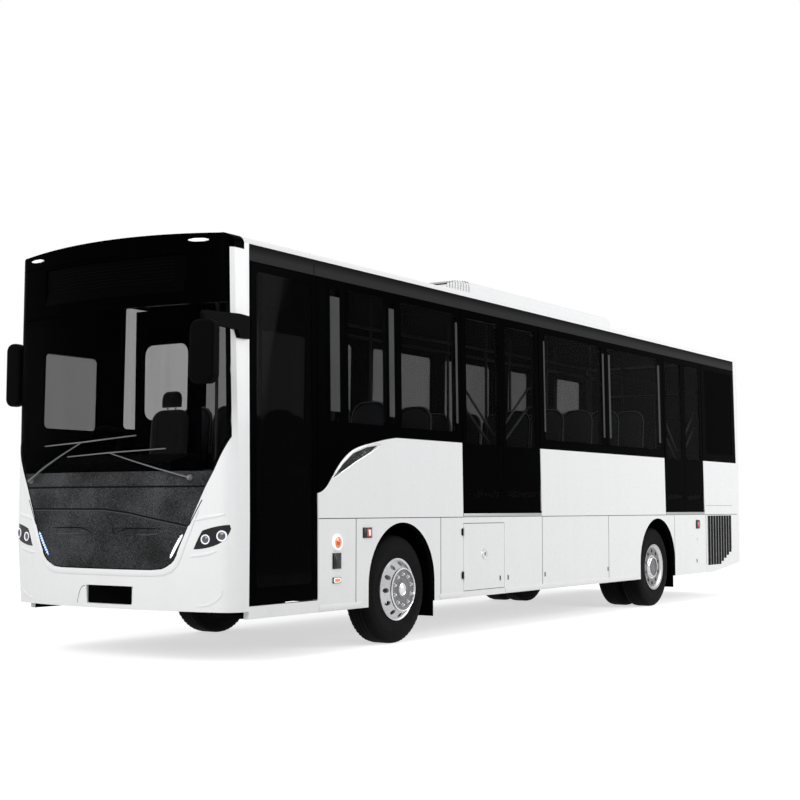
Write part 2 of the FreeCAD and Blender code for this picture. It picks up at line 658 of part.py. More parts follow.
LAMP_TURN = 40.0                # how far the headlamp faces to the side, in degrees
LAMP_TIP = (765.0, 926.0)
LAMP_INNER = (798.0, 1008.0)
LAMP_SHOULDER = (832.0, 1074.0)
LAMP_BROW = (942.0, 1108.0)
LAMP_TOP = (1051.0, 1122.0)
LAMP_OUTER = (1060.0, 1090.0)
LAMP_CHEEK = (1028.0, 1026.0)
LAMP_LOW = (968.0, 973.0)
LAMP_CHIN = (868.0, 938.0)
LAMP_AHEAD = 900.0              # start and length of the form that cuts the headlamp out
LAMP_DEEP = 700.0


def lamp_prism(side, grow):
    # Almond of the headlamp, drawn square to the way that it faces.
    def spot(p):
        return V(p[0], -LAMP_AHEAD, p[1])

    arcs = [(LAMP_TIP, LAMP_INNER, LAMP_SHOULDER), (LAMP_SHOULDER, LAMP_BROW, LAMP_TOP)]
    arcs += [(LAMP_OUTER, LAMP_CHEEK, LAMP_LOW), (LAMP_LOW, LAMP_CHIN, LAMP_TIP)]
    edges = [Part.Arc(spot(p), spot(q), spot(r)).toShape() for p, q, r in arcs]
    edges.insert(2, Part.makeLine(spot(LAMP_TOP), spot(LAMP_OUTER)))
    wire = Part.Wire(edges)
    if grow:
        wire = wire.makeOffset2D(grow)
    prism = Part.Face(wire).extrude(V(0, LAMP_DEEP, 0))
    prism.rotate(V(0, 0, 0), V(0, 0, 1), LAMP_TURN)
    prism.translate(V(0, NOSE_Y, 0))
    return prism if side > 0 else prism.mirror(V(0, 0, 0), V(1, 0, 0))


def headlamps():
    skin = hull(2).cut(hull(WALL))
    return [skin.common(lamp_prism(side, 0)) for side in (1, -1)]


# Rear

LID_HALF = 900.0
LID_FOOT_Z = 640.0
LID_HEAD_Z = 1760.0
LID_THICK = 40.0
REAR_GLASS_HALF = 900.0
REAR_GLASS_FOOT_Z = 2060.0
REAR_GLASS_HEAD_Z = 2980.0
REAR_BUMPER_HEAD_Z = 610.0
TAIL_LAMP_X0 = 985.0
TAIL_LAMP_X1 = 1165.0


def rear_wall(shell):
    part = shell.common(box(-BIG, BIG, at(TAIL_CORNER), TAIL_Y + 100, REAR_BUMPER_HEAD_Z, ROOF_EDGE_Z))
    tools = [box(-LID_HALF, LID_HALF, TAIL_Y - 400, TAIL_Y + 100, REAR_BUMPER_HEAD_Z - 1, LID_HEAD_Z)]
    tools.append(rear_glass_prism(0))
    tools += [tail_lamp_prism(side, 0) for side in (1, -1)]
    return fuse([cut(part, tools)] + [fixed for fixed, moving in lid_hinges()])


def rear_glass_prism(grow):
    half = REAR_GLASS_HALF + grow
    pane = box(-half, half, TAIL_Y - 400, TAIL_Y + 100, REAR_GLASS_FOOT_Z - grow, REAR_GLASS_HEAD_Z + grow)
    return pane.makeFillet(90.0 + grow, [e for e in pane.Edges if abs(e.tangentAt(e.FirstParameter).y) > 0.9])


def rear_glass():
    skin = hull(GLASS_INSET).cut(hull(GLASS_INSET + GLASS_THICK))
    return skin.common(rear_glass_prism(-GLASS_GAP))


def engine_lid():
    gap = DOOR_GAP
    skin = hull(0).cut(hull(LID_THICK))
    lid = skin.common(box(-LID_HALF + gap, LID_HALF - gap, TAIL_Y - 400, TAIL_Y + 100,
                          LID_FOOT_Z + gap, LID_HEAD_Z - gap))
    slots = [box(-620, 620, TAIL_Y - 20, TAIL_Y + 50, 800 + i * 70, 835 + i * 70) for i in range(7)]
    return fuse([cut(lid, slots)] + [moving for fixed, moving in lid_hinges()])


def rear_bumper(shell):
    part = shell.common(box(-BIG, BIG, at(TAIL_CORNER), TAIL_Y + 100, TAIL_SKIRT_Z, REAR_BUMPER_HEAD_Z))
    foot, head = TAIL_SKIRT_Z + 16, REAR_BUMPER_HEAD_Z - 14
    tools = [box(-PLATE_HALF, PLATE_HALF, TAIL_Y - PLATE_RECESS, TAIL_Y + 100, foot, head)]
    for side in (1, -1):
        hole = V(side * PLATE_HOLE_X, TAIL_Y - 2 * WALL, (foot + head) / 2)
        tools.append(cylinder(hole, V(0, 1, 0), PLATE_HOLE_RADIUS, 2 * WALL))
    return cut(part, tools)


def tail_lamp_prism(side, grow):
    return box(side * (TAIL_LAMP_X0 - grow), side * (TAIL_LAMP_X1 + grow), TAIL_Y - 300, TAIL_Y + 100,
               1180 - grow, 1560 + grow)


ROUND_LAMP = (-1047.0, 955.0, 62.0)     # place behind the front axle, height, radius
ROUND_LAMP_PROUD = 14.0
SIDE_LAMP_PROUD = 10.0
SIDE_LAMPS = [(-1052.0, 797.0, 58.0, 68.0), (-1052.0, 630.0, 56.0, 24.0), (-585.0, 1034.0, 66.0, 46.0)]
SIDE_LAMPS += [(7369.0, 1034.0, 58.0, 58.0)]


def signal_lamps():
    skin = hull(-3).cut(hull(WALL - 10))
    lamps = [skin.common(tail_lamp_prism(side, -GLASS_GAP)) for side in (1, -1)]
    for side in (1, -1):
        d, z, radius = ROUND_LAMP
        lamps.append(cylinder(V(side * HALF_WIDTH, at(d), z), V(side, 0, 0), radius, ROUND_LAMP_PROUD))
        for d, z, half, tall in SIDE_LAMPS:
            x0, x1 = side * HALF_WIDTH, side * (HALF_WIDTH + SIDE_LAMP_PROUD)
            lamps.append(box(x0, x1, at(d) - half, at(d) + half, z - tall, z + tall))
    return lamps


# Doors: each leaf is drawn upright about its own pivot, then leaned with the body side

def leaf(width, height, direction, railed):
    # direction is +1 where the leaf reaches towards the tail from its pivot.
    half = DOOR_THICK / 2
    slab = box(-half, half, 0, direction * (width - half), 0, height)
    slab = fuse([slab, Part.makeCylinder(half, height)])
    y0, y1 = direction * DOOR_FRAME, direction * (width - half - DOOR_FRAME)
    pane = box(-half - 1, half + 1, y0, y1, DOOR_FRAME + DOOR_KICK, height - DOOR_FRAME)
    pane = pane.makeFillet(40.0, [e for e in pane.Edges if abs(e.tangentAt(e.FirstParameter).x) > 0.9])
    pins = [Part.makeCylinder(HINGE_PIN, DOOR_TOP_GAP + PIN_BITE, V(0, 0, height))]
    pins.append(Part.makeCylinder(HINGE_PIN, DOOR_FOOT_GAP + PIN_BITE, V(0, 0, -DOOR_FOOT_GAP - PIN_BITE)))
    rails = leaf_rails(width, direction) if railed else []
    return fuse([slab.cut(pane)] + pins + rails), glass_of(pane, half)


def leaf_rails(width, direction):
    # Two slanting grab rails on the inside of a platform leaf, with a foot at each end.
    rails = []
    back = DOOR_THICK / 2
    far = width - back - LEAF_RAIL_FREE_END
    x = -back - LEAF_RAIL_OUT
    for jamb_z, free_z in LEAF_RAIL_HEIGHTS:
        high = V(x, direction * LEAF_RAIL_JAMB_END, jamb_z)
        low = V(x, direction * far, free_z)
        rails.append(rod(low, high, LEAF_RAIL_RADIUS))
        inward = (high - low).normalize() * LEAF_FOOT_INSET
        for end in (low + inward, high - inward):
            rails.append(rod(V(-back + 2, end.y, end.z), end, LEAF_FOOT_RADIUS))
    return rails


def hinge_bores(front, back, foot_z, pivot_at_front):
    # Holes above and below a leaf for its two pins, on the leaf's own leaning pivot.
    head_z = CANT_Z - DOOR_TOP_GAP
    half = DOOR_THICK / 2
    y = at(front) + half if pivot_at_front else at(back) - half
    height = head_z - foot_z
    reach = PIN_BITE + RUNNING_GAP
    radius = HINGE_PIN + GLASS_GAP
    top = Part.makeCylinder(radius, DOOR_TOP_GAP + reach, V(0, 0, height))
    low = Part.makeCylinder(radius, DOOR_FOOT_GAP + reach, V(0, 0, -DOOR_FOOT_GAP - reach))
    return [place_leaf(tool, y, foot_z, head_z) for tool in (top, low)]


def glass_of(pane, half):
    b = pane.BoundBox
    g = GLASS_GAP
    sheet = box(half - GLASS_INSET - GLASS_THICK, half - GLASS_INSET, b.YMin + g, b.YMax - g, b.ZMin + g, b.ZMax - g)
    return sheet.makeFillet(40.0 - g, [e for e in sheet.Edges if abs(e.tangentAt(e.FirstParameter).x) > 0.9])


def side_x(z):
    # Outside of the body at a height.
    if z < WAIST_Z:
        return HALF_WIDTH
    return HALF_WIDTH - SIDE_LEAN * (z - WAIST_Z) / (ROOF_EDGE_Z - WAIST_Z)


def place_leaf(shape, y, foot_z, head_z):
    foot_x, head_x = side_x(foot_z), side_x(head_z)
    lean = math.degrees(math.atan2(foot_x - head_x, head_z - foot_z))
    half = DOOR_THICK / 2
    moved = shape.copy()
    moved.rotate(V(0, 0, 0), V(0, 1, 0), -lean)
    moved.translate(V(foot_x - half, y, foot_z))
    return moved


def door(front, back, foot_z, pivot_at_front, railed):
    head_z = CANT_Z - DOOR_TOP_GAP
    half = DOOR_THICK / 2
    width = back - front
    direction = 1 if pivot_at_front else -1
    frame, pane = leaf(width, head_z - foot_z, direction, railed)
    y = at(front) + half if pivot_at_front else at(back) - half
    return [place_leaf(part, y, foot_z, head_z) for part in (frame, pane)]


def door_places():
    # Name, front and back behind the front axle, foot, whether the pivot is at the front, grab rails.
    g = DOOR_GAP
    mid = (MID_DOOR_FRONT + MID_DOOR_BACK) / 2
    back = (REAR_DOOR_FRONT + REAR_DOOR_BACK) / 2
    foot = DOOR_SILL_Z + DOOR_FOOT_GAP
    entry_foot = ENTRY_SILL_Z + DOOR_FOOT_GAP
    return [
        ("front_door", FRONT_POST_BACK + g, ENTRY_BACK - g, entry_foot, True, False),
        ("mid_door_front_leaf", MID_DOOR_FRONT + g, mid - g / 2, foot, True, True),
        ("mid_door_rear_leaf", mid + g / 2, MID_DOOR_BACK - g, foot, False, True),
        ("rear_door_front_leaf", REAR_DOOR_FRONT + g, back - g / 2, foot, True, True),
        ("rear_door_rear_leaf", back + g / 2, REAR_DOOR_BACK - g, foot, False, True),
    ]


def all_hinge_bores():
    tools = []
    for name, front, back, foot, pivot_at_front, railed in door_places():
        tools += hinge_bores(front, back, foot, pivot_at_front)
    return tools


# Floor, steps and chassis

STEP_EDGE = [1180.0, 900.0, 630.0, 360.0]
STEP_Z = [400.0, 667.0, 933.0]
STEP_THICK = 30.0


def floor_deck():
    inside = hull(WALL)
    deck = inside.common(box(-BIG, BIG, NOSE_Y + 330, TAIL_Y - 120, FLOOR_Z - FLOOR_THICK, FLOOR_Z))
    well_y0, well_y1 = at(FRONT_POST_BACK), at(ENTRY_BACK)
    deck = deck.cut(box(STEP_EDGE[3], BIG, well_y0, well_y1, 0, 2000))
    outline = []
    for i, z in enumerate(STEP_Z):
        outline += [(STEP_EDGE[i], z), (STEP_EDGE[i + 1], z)]
    outline += [(STEP_EDGE[3], FLOOR_Z)]
    under = [(STEP_EDGE[3] - STEP_THICK, FLOOR_Z)]
    for i in range(2, -1, -1):
        under += [(STEP_EDGE[i + 1] - STEP_THICK, STEP_Z[i] - STEP_THICK), (STEP_EDGE[i] - (STEP_THICK if i else 0), STEP_Z[i] - STEP_THICK)]
    stairs = across_y(outline + under, well_y0, well_y1)
    return fuse([deck, stairs])


def chassis_rails():
    # Two long rails, each with its jacking pads.
    z1 = RAIL_TOP_Z
    z0 = z1 - RAIL_HEIGHT
    rails = []
    for side in (1, -1):
        parts = [box(side * (RAIL_X - RAIL_WIDTH), side * RAIL_X, RAIL_FRONT_Y, RAIL_BACK_Y, z0, z1)]
        x = side * (RAIL_X - RAIL_WIDTH / 2)
        for d in JACK_BACK:
            parts.append(box(x - JACK_HALF, x + JACK_HALF, at(d) - JACK_HALF, at(d) + JACK_HALF, z0 - JACK_DROP, z0))
        rails.append(fuse(parts))
    return rails


def cross_members():
    # Beams between the rails, the towing lug under a rail, and the bearers that carry the floor.
    z1 = RAIL_TOP_Z
    z0 = z1 - RAIL_HEIGHT
    inner = RAIL_X - RAIL_WIDTH
    members = []
    for d in BEAM_BACK:
        members.append(box(-inner, inner, at(d) - BEAM_HALF, at(d) + BEAM_HALF, z0 + 40, z1 - 30))
    reach = HALF_WIDTH - WALL
    for d in BEARER_BACK:
        members.append(box(-reach, reach, at(d) - BEARER_HALF, at(d) + BEARER_HALF, z1, FLOOR_Z - FLOOR_THICK))
    d = ENTRY_BEARER_BACK
    members.append(box(-reach, STEP_EDGE[3] - 60, at(d) - BEARER_HALF, at(d) + BEARER_HALF, z1, FLOOR_Z - FLOOR_THICK))
    x = -(RAIL_X - RAIL_WIDTH / 2)
    eye_y = RAIL_FRONT_Y + TOW_BACK
    plate = box(x - TOW_HALF, x + TOW_HALF, eye_y - TOW_HALF, eye_y + 3 * TOW_HALF, TOW_Z, TOW_Z + TOW_THICK)
    hanger = box(x - TOW_HALF, x + TOW_HALF, eye_y + TOW_HALF, eye_y + 3 * TOW_HALF, TOW_Z, z0)
    lug = fuse([plate, hanger])
    members.append(lug.cut(cylinder(V(x, eye_y, TOW_Z - 1), V(0, 0, 1), TOW_RADIUS, TOW_THICK + 2)))
    return members


def wheel_housings():
    liners = []
    top = FLOOR_Z - FLOOR_THICK
    for y in (FRONT_AXLE_Y, REAR_AXLE_Y):
        for side in (1, -1):
            x0, x1 = side * LINER_INNER_X, side * (HALF_WIDTH - WALL)
            parts = []
            for way in (-1, 1):
                a = y + way * LINER_RADIUS
                b = a + way * LINER_THICK
                parts.append(box(x0, x1, a, b, LINER_FOOT_Z, top))
            flap = box(side * (WHEEL_FACE - TYRE_WIDTH), side * (HALF_WIDTH - WALL), y + LINER_RADIUS,
                       y + LINER_RADIUS + LINER_THICK, MUDFLAP_Z, LINER_FOOT_Z)
            liners.append(parts[0])
            liners.append(fuse([parts[1], flap]))
    return liners


# Running gear

def axle_x(side, inner, outer, radius, y, z):
    return cylinder(V(side * inner, y, z), V(side, 0, 0), radius, outer - inner)


EYE_RADIUS = 52.0
EYE_HALF = 85.0
PIN_RADIUS = 22.0
FORK_THICK = 28.0


def front_axle():
    y, z = FRONT_AXLE_Y, WHEEL_RADIUS
    beam_z = z - 90
    parts = [box(-700, 700, y - 50, y + 50, beam_z - 60, beam_z + 50)]
    for side in (1, -1):
        arm = across_y([(side * 640, beam_z - 60), (side * 700, beam_z - 60), (side * (KINGPIN_X - 30), z - 60),
                        (side * (KINGPIN_X - 30), z + 50), (side * 640, beam_z + 50)], y - 45, y + 45)
        eye = cylinder(V(side * KINGPIN_X, y, z - EYE_HALF), V(0, 0, 1), EYE_RADIUS, 2 * EYE_HALF)
        parts += [arm, eye]
        mount_x = side * (RAIL_X - RAIL_WIDTH / 2)
        bellows = cylinder(V(mount_x, y, beam_z + 40), V(0, 0, 1), 110, RAIL_TOP_Z - RAIL_HEIGHT - beam_z - 40)
        parts.append(bellows)
    whole = fuse(parts)
    pins = [cylinder(V(side * KINGPIN_X, y, 0), V(0, 0, 1), PIN_RADIUS + RUNNING_GAP, 1200) for side in (1, -1)]
    return cut(whole, pins)


def knuckle(side):
    y, z = FRONT_AXLE_Y, WHEEL_RADIUS
    x = side * KINGPIN_X
    gap = RUNNING_GAP
    pin = cylinder(V(x, y, z - EYE_HALF - gap), V(0, 0, 1), PIN_RADIUS, 2 * (EYE_HALF + gap))
    parts = [pin]
    for foot in (z + EYE_HALF + gap, z - EYE_HALF - gap - FORK_THICK):
        parts.append(cylinder(V(x, y, foot), V(0, 0, 1), 45, FORK_THICK))
        parts.append(box(x, side * (KINGPIN_X + 95), y - 40, y + 40, foot, foot + FORK_THICK))
    parts.append(box(side * (KINGPIN_X + 65), side * (KINGPIN_X + 95), y - 40, y + 40,
                     z - EYE_HALF - gap - FORK_THICK, z + EYE_HALF + gap + FORK_THICK))
    parts.append(axle_x(side, KINGPIN_X + 80, WHEEL_FACE - 60, SPINDLE_RADIUS, y, z))
    arm_z = z - EYE_HALF - gap - FORK_THICK
    parts.append(box(x - 20, x + 20, y, y + TIE_ARM + 25, arm_z, arm_z + 20))
    whole = fuse(parts)
    return whole.cut(cylinder(V(x, y + TIE_ARM, arm_z - 10), V(0, 0, 1), TIE_PIN + RUNNING_GAP, 60))


TIE_ARM = 190.0
TIE_PIN = 9.0


def tie_rod():
    z = WHEEL_RADIUS - EYE_HALF - RUNNING_GAP - FORK_THICK
    y = FRONT_AXLE_Y + TIE_ARM
    drop = 34.0
    parts = [rod(V(-KINGPIN_X, y, z - drop), V(KINGPIN_X, y, z - drop), 17)]
    for side in (1, -1):
        x = side * KINGPIN_X
        parts.append(cylinder(V(x, y, z - drop - 20), V(0, 0, 1), 24, 20 + drop - RUNNING_GAP))
        parts.append(cylinder(V(x, y, z - drop), V(0, 0, 1), TIE_PIN, drop + 32))
    return fuse(parts)


def tyre_profile(width):
    r = WHEEL_RADIUS
    bead = RIM_RADIUS - 8.5
    return [(8, bead), (0, r - 95), (24, r - 14), (46, r), (width - 46, r), (width - 24, r - 14),
            (width, r - 95), (width - 8, bead)]


def ring_of_flats(points, x0, y, z):
    # Ring about an axle along X, made of flats that touch the true round, one of them at the foot.
    step = 2 * math.pi / TYRE_FLATS
    reach = 1 / math.cos(step / 2)
    rows = []
    for i in range(TYRE_FLATS):
        turn = (i + 0.5) * step - math.pi / 2
        along, up = reach * math.cos(turn), reach * math.sin(turn)
        rows.append([V(x0 + a, y + r * along, z + r * up) for a, r in points])
    faces = []
    for i, row in enumerate(rows):
        after = rows[(i + 1) % TYRE_FLATS]
        for j in range(len(points)):
            k = (j + 1) % len(points)
            corners = [row[j], after[j], after[k], row[k]]
            faces.append(Part.Face(Part.makePolygon(corners + corners[:1])))
    shell = Part.makeShell(faces)
    shell.sewShape()
    solid = Part.makeSolid(shell)
    if solid.Volume < 0:
        solid.reverse()
    return solid


def tyre(side, outer_x, y):
    points = [(side * -a, b) for a, b in tyre_profile(TYRE_WIDTH)]
    return ring_of_flats(points, side * outer_x, y, WHEEL_RADIUS)


FRONT_HOLES = (12, 235.0, 22.0)    # count, circle and radius of the hand holes
REAR_HOLES = (10, 200.0, 27.0)
FRONT_DISC_PROUD = 56.0         # the front wheels' disc stands out past the tyre's side
FRONT_DISC_RADIUS = 204.0
FRONT_HUB_RADIUS = 55.0


def hand_hole_tools(y, count, circle, radius):
    z = WHEEL_RADIUS
    tools = []
    for i in range(count):
        a = 2 * math.pi * i / count
        spot = V(-BIG, y + circle * math.cos(a), z + circle * math.sin(a))
        tools.append(cylinder(spot, V(1, 0, 0), radius, 2 * BIG))
    return tools


def front_rim(side, y):
    r = RIM_RADIUS - 9.0
    w = TYRE_WIDTH
    bore = SPINDLE_RADIUS + RUNNING_GAP
    proud = FRONT_DISC_PROUD
    back = proud - 18
    profile = [(0, r - 6), (0, r), (w, r), (w, r - 14), (24, r - 14), (-back, FRONT_DISC_RADIUS - 6),
               (-back, 120), (110, 120), (110, bore), (60 - RUNNING_GAP, bore), (60 - RUNNING_GAP, 0),
               (-proud - 5, 0), (-proud - 5, FRONT_HUB_RADIUS), (-proud + 6, FRONT_HUB_RADIUS + 4),
               (-proud + 6, 104), (-proud, 108), (-proud, FRONT_DISC_RADIUS), (5, r - 16)]
    points = [(side * -a, b) for a, b in profile]
    rim = turned_x(points, side * WHEEL_FACE, y, WHEEL_RADIUS)
    return cut(rim, hand_hole_tools(y, *FRONT_HOLES))


def twin_rims(side, y):
    r = RIM_RADIUS - 9.0
    w = TYRE_WIDTH
    full = 2 * w + TWIN_GAP
    disc = w + 10.0
    profile = [(0, r - 6), (0, r), (full, r), (full, r - 14), (disc + 26, r - 14), (disc + 26, 120),
               (full - 40, 120), (full - 40, 60.5), (40 + 1, 60.5), (40 + 1, 0), (28, 0), (28, 70), (44, 110),
               (disc - 60, 128), (disc + 6, 150), (disc + 10, r - 14), (14, r - 14)]
    points = [(side * -a, b) for a, b in profile]
    rim = turned_x(points, side * WHEEL_FACE, y, WHEEL_RADIUS)
    return cut(rim, hand_hole_tools(y, *REAR_HOLES))


def rear_axle():
    y, z = REAR_AXLE_Y, WHEEL_RADIUS
    reach = WHEEL_FACE - 60
    parts = [cylinder(V(-560, y, z), V(1, 0, 0), 88, 1120)]
    parts += [axle_x(side, 500, reach, 60, y, z) for side in (1, -1)]
    bowl = [(-210, 40), (-175, 120), (-95, 178), (95, 178), (175, 120), (210, 40)]
    parts.append(turned_x(bowl, 0, y, z))
    for side in (1, -1):
        for way in (-1, 1):
            x = side * (RAIL_X - RAIL_WIDTH / 2)
            yy = y + way * 330
            foot = z - 40
            parts.append(cylinder(V(x, yy, foot), V(0, 0, 1), 115, RAIL_TOP_Z - RAIL_HEIGHT - foot))
        parts.append(box(side * 330, side * 450, y - 400, y + 400, z - 70, z - 20))
    return fuse(parts)


ENGINE_HALF = 335.0
ENGINE_FRONT = 7050.0
ENGINE_BACK = 8600.0


def engine():
    inner = RAIL_X - RAIL_WIDTH
    parts = [box(-ENGINE_HALF, ENGINE_HALF, at(ENGINE_FRONT), at(ENGINE_BACK), 430, 1130)]
    for d in (ENGINE_FRONT + 200, ENGINE_BACK - 200):
        parts.append(box(-inner, inner, at(d) - 50, at(d) + 50, RAIL_TOP_Z - 150, RAIL_TOP_Z - 50))
    return fuse(parts)


def fuel_tank():
    parts = []
    for side, d0, d1 in ((1, 2150.0, 3200.0), (-1, 1200.0, 3100.0)):
        tank = box(side * 520, side * 1150, at(d0), at(d1), 440, 850)
        edges = [e for e in tank.Edges if abs(e.tangentAt(e.FirstParameter).y) > 0.9]
        tank = tank.makeFillet(60.0, edges)
        strap = box(side * (RAIL_X), side * 530, at(d0) + 200, at(d1) - 200, 700, 780)
        parts.append(fuse([tank, strap]))
    return parts


# Inside

def dashboard():
    y0 = NOSE_Y + 360
    body = across_x([(y0, FLOOR_Z), (y0 + 330, FLOOR_Z), (y0 + 420, 1560), (y0 + 300, 1720), (y0, 1640)], -1100, 420)
    column = rod(V(-620, y0 + 330, 1560), V(-620, y0 + 480, 1850), 30)
    wheel = Part.makeTorus(235, 16)
    wheel.rotate(V(0, 0, 0), V(1, 0, 0), -30)
    wheel.translate(V(-620, y0 + 480, 1850))
    spokes = []
    for a in (0, 120, 240):
        spoke = Part.makeBox(470 / 2, 30, 14, V(0, -15, -7))
        spoke.rotate(V(0, 0, 0), V(0, 0, 1), a + 90)
        spoke.rotate(V(0, 0, 0), V(1, 0, 0), -30)
        spoke.translate(V(-620, y0 + 480, 1850))
        spokes.append(spoke)
    return fuse([body.common(hull(WALL + 1)), column, wheel] + spokes)


SEAT_PAIR = 860.0
SEAT_TOP = 1062.0               # top of the backs above the seat's own foot
SEAT_CROWN = 150.0              # rounding of each back's upper corners
SEAT_SPLIT = 16.0
SEAT_PITCH = 760.0
SEAT_WALL_GAP = 45.0
ROAD_SEAT_FRONT = -480.0
ROAD_SEAT_COUNT = 11
KERB_SEATS = [-150.0, 620.0, 3500.0, 4260.0, 5020.0, 5780.0]
SEAT_RISE_BACK = 3300.0         # rows behind this stand on plinths
SEAT_RISE = 130.0
SEAT_RISE_SLOPE = 0.048


def seat_shape(rise):
    # Pair of seats facing the nose on one plinth, its foot at the origin.
    width = SEAT_PAIR
    cushion = across_x([(-40, 400), (400, 420), (420, 330), (-40, 320)], 0, width)
    slope = across_x([(-60, 330), (10, 330), (-60, SEAT_TOP), (-110, SEAT_TOP)], 0, width)
    backs = []
    for x0, x1 in ((0, (width - SEAT_SPLIT) / 2), ((width + SEAT_SPLIT) / 2, width)):
        form = box(x0, x1, -200, 100, 300, SEAT_TOP)
        edges = [e for e in form.Edges if abs(e.tangentAt(e.FirstParameter).y) > 0.9 and e.BoundBox.ZMin > 400]
        backs.append(slope.common(form.makeFillet(SEAT_CROWN, edges)))
    leg = box(width / 2 - 30, width / 2 + 30, 60, 220, 0, 340)
    parts = [cushion, leg] + backs
    for part in parts:
        part.translate(V(0, 0, rise))
    if rise:
        parts.append(box(20, width - 20, -90, 400, 0, rise))
    whole = fuse(parts)
    whole.rotate(V(width / 2, 0, 0), V(0, 0, 1), 180)
    return whole


def passenger_seats():
    seats = []
    kerb_x = HALF_WIDTH - WALL - SEAT_WALL_GAP - SEAT_PAIR
    road_x = -(HALF_WIDTH - WALL - SEAT_WALL_GAP)
    places = [(road_x, ROAD_SEAT_FRONT + i * SEAT_PITCH) for i in range(ROAD_SEAT_COUNT)]
    places += [(kerb_x, d) for d in KERB_SEATS]
    for x, d in places:
        rise = 0.0
        if d > SEAT_RISE_BACK:
            rise = SEAT_RISE + SEAT_RISE_SLOPE * (d - SEAT_RISE_BACK)
        one = seat_shape(rise)
        one.translate(V(x, at(d), FLOOR_Z))
        seats.append(one)
    return seats


def driver_seat():
    x = -620
    y = NOSE_Y + 1230
    parts = [box(x - 240, x + 240, y - 250, y + 230, FLOOR_Z + 330, FLOOR_Z + 440)]
    parts.append(across_x([(y + 180, FLOOR_Z + 400), (y + 245, FLOOR_Z + 400), (y + 290, FLOOR_Z + 1020),
                           (y + 225, FLOOR_Z + 1020)], x - 230, x + 230))
    parts.append(across_x([(y + 228, FLOOR_Z + 1010), (y + 284, FLOOR_Z + 1010), (y + 296, FLOOR_Z + 1220),
                           (y + 240, FLOOR_Z + 1220)], x - 120, x + 120))
    parts.append(cylinder(V(x, y, FLOOR_Z), V(0, 0, 1), 110, 340))
    return fuse(parts)


STANCHION_X = 262.0
STANCHION_RADIUS = 16.0
STANCHION_BACK = [-900.0, 900.0, 3300.0, 4830.0, 6100.0, 8300.0]
HIGH_RAIL_Z = 3100.0


def grab_rails():
    # On each side of the aisle a long high rail, stanchions up to it and hangers over it.
    rails = []
    r = STANCHION_RADIUS
    inside = hull(WALL + GLASS_GAP)
    for x in (-STANCHION_X, STANCHION_X):
        first, last = STANCHION_BACK[0], STANCHION_BACK[-1]
        rails.append(rod(V(x, at(first) - r, HIGH_RAIL_Z), V(x, at(last) + r, HIGH_RAIL_Z), r))
        for d in STANCHION_BACK:
            rails.append(rod(V(x, at(d), FLOOR_Z), V(x, at(d), HIGH_RAIL_Z - r - GLASS_GAP), r))
            hanger = rod(V(x, at(d), HIGH_RAIL_Z + r + GLASS_GAP), V(x, at(d), ROOF_TOP_Z), r)
            rails.append(hanger.common(inside))
    return rails


PARTITION_BACK = -1060.0
PARTITION_WINDOW = (-1070.0, -470.0, 2075.0, 2833.0)
PARTITION_CORNER = 120.0
PARTITION_THICK = 30.0


def driver_partition():
    y = at(PARTITION_BACK)
    panel = box(-(HALF_WIDTH - WALL - 40), -330, y, y + PARTITION_THICK, FLOOR_Z, 3150)
    x0, x1, z0, z1 = PARTITION_WINDOW
    window = box(x0, x1, y - 5, y + PARTITION_THICK + 5, z0, z1)
    edges = [e for e in window.Edges if abs(e.tangentAt(e.FirstParameter).y) > 0.9]
    window = window.makeFillet(PARTITION_CORNER, edges)
    return panel.cut(window)


# Outside fittings

MIRROR_WIDE = 240.0
MIRROR_FOOT_Z = 2204.0
MIRROR_HEAD_Z = 2700.0
MIRROR_DEEP = 98.0
MIRROR_CORNER = 72.0            # corners seen from ahead
MIRROR_EDGE = 26.0
MIRROR_ARM_WIDE = 40.0
MIRROR_ARM_TURN = 6.0           # outward turn of the kerb mirror's arm, in degrees
ROAD_MIRROR_WIDE = 168.0
ROAD_MIRROR_BACK = 196.0        # nose to the front of the road mirror
ROAD_MIRROR_FOOT_Z = 2156.0
ROAD_MIRROR_HEAD_Z = 2722.0
ROAD_ARM_Z = [2300.0, 2640.0]
ROAD_ARM_RADIUS = 17.0


def mirror_head(x0, x1, y0, z0, z1):
    head = box(x0, x1, y0, y0 + MIRROR_DEEP, z0, z1)
    corners = [e for e in head.Edges if abs(e.tangentAt(e.FirstParameter).y) > 0.9]
    head = head.makeFillet(MIRROR_CORNER, corners)
    rims = [e for e in head.Edges if e.BoundBox.YLength < 1]
    return head.makeFillet(MIRROR_EDGE, rims)


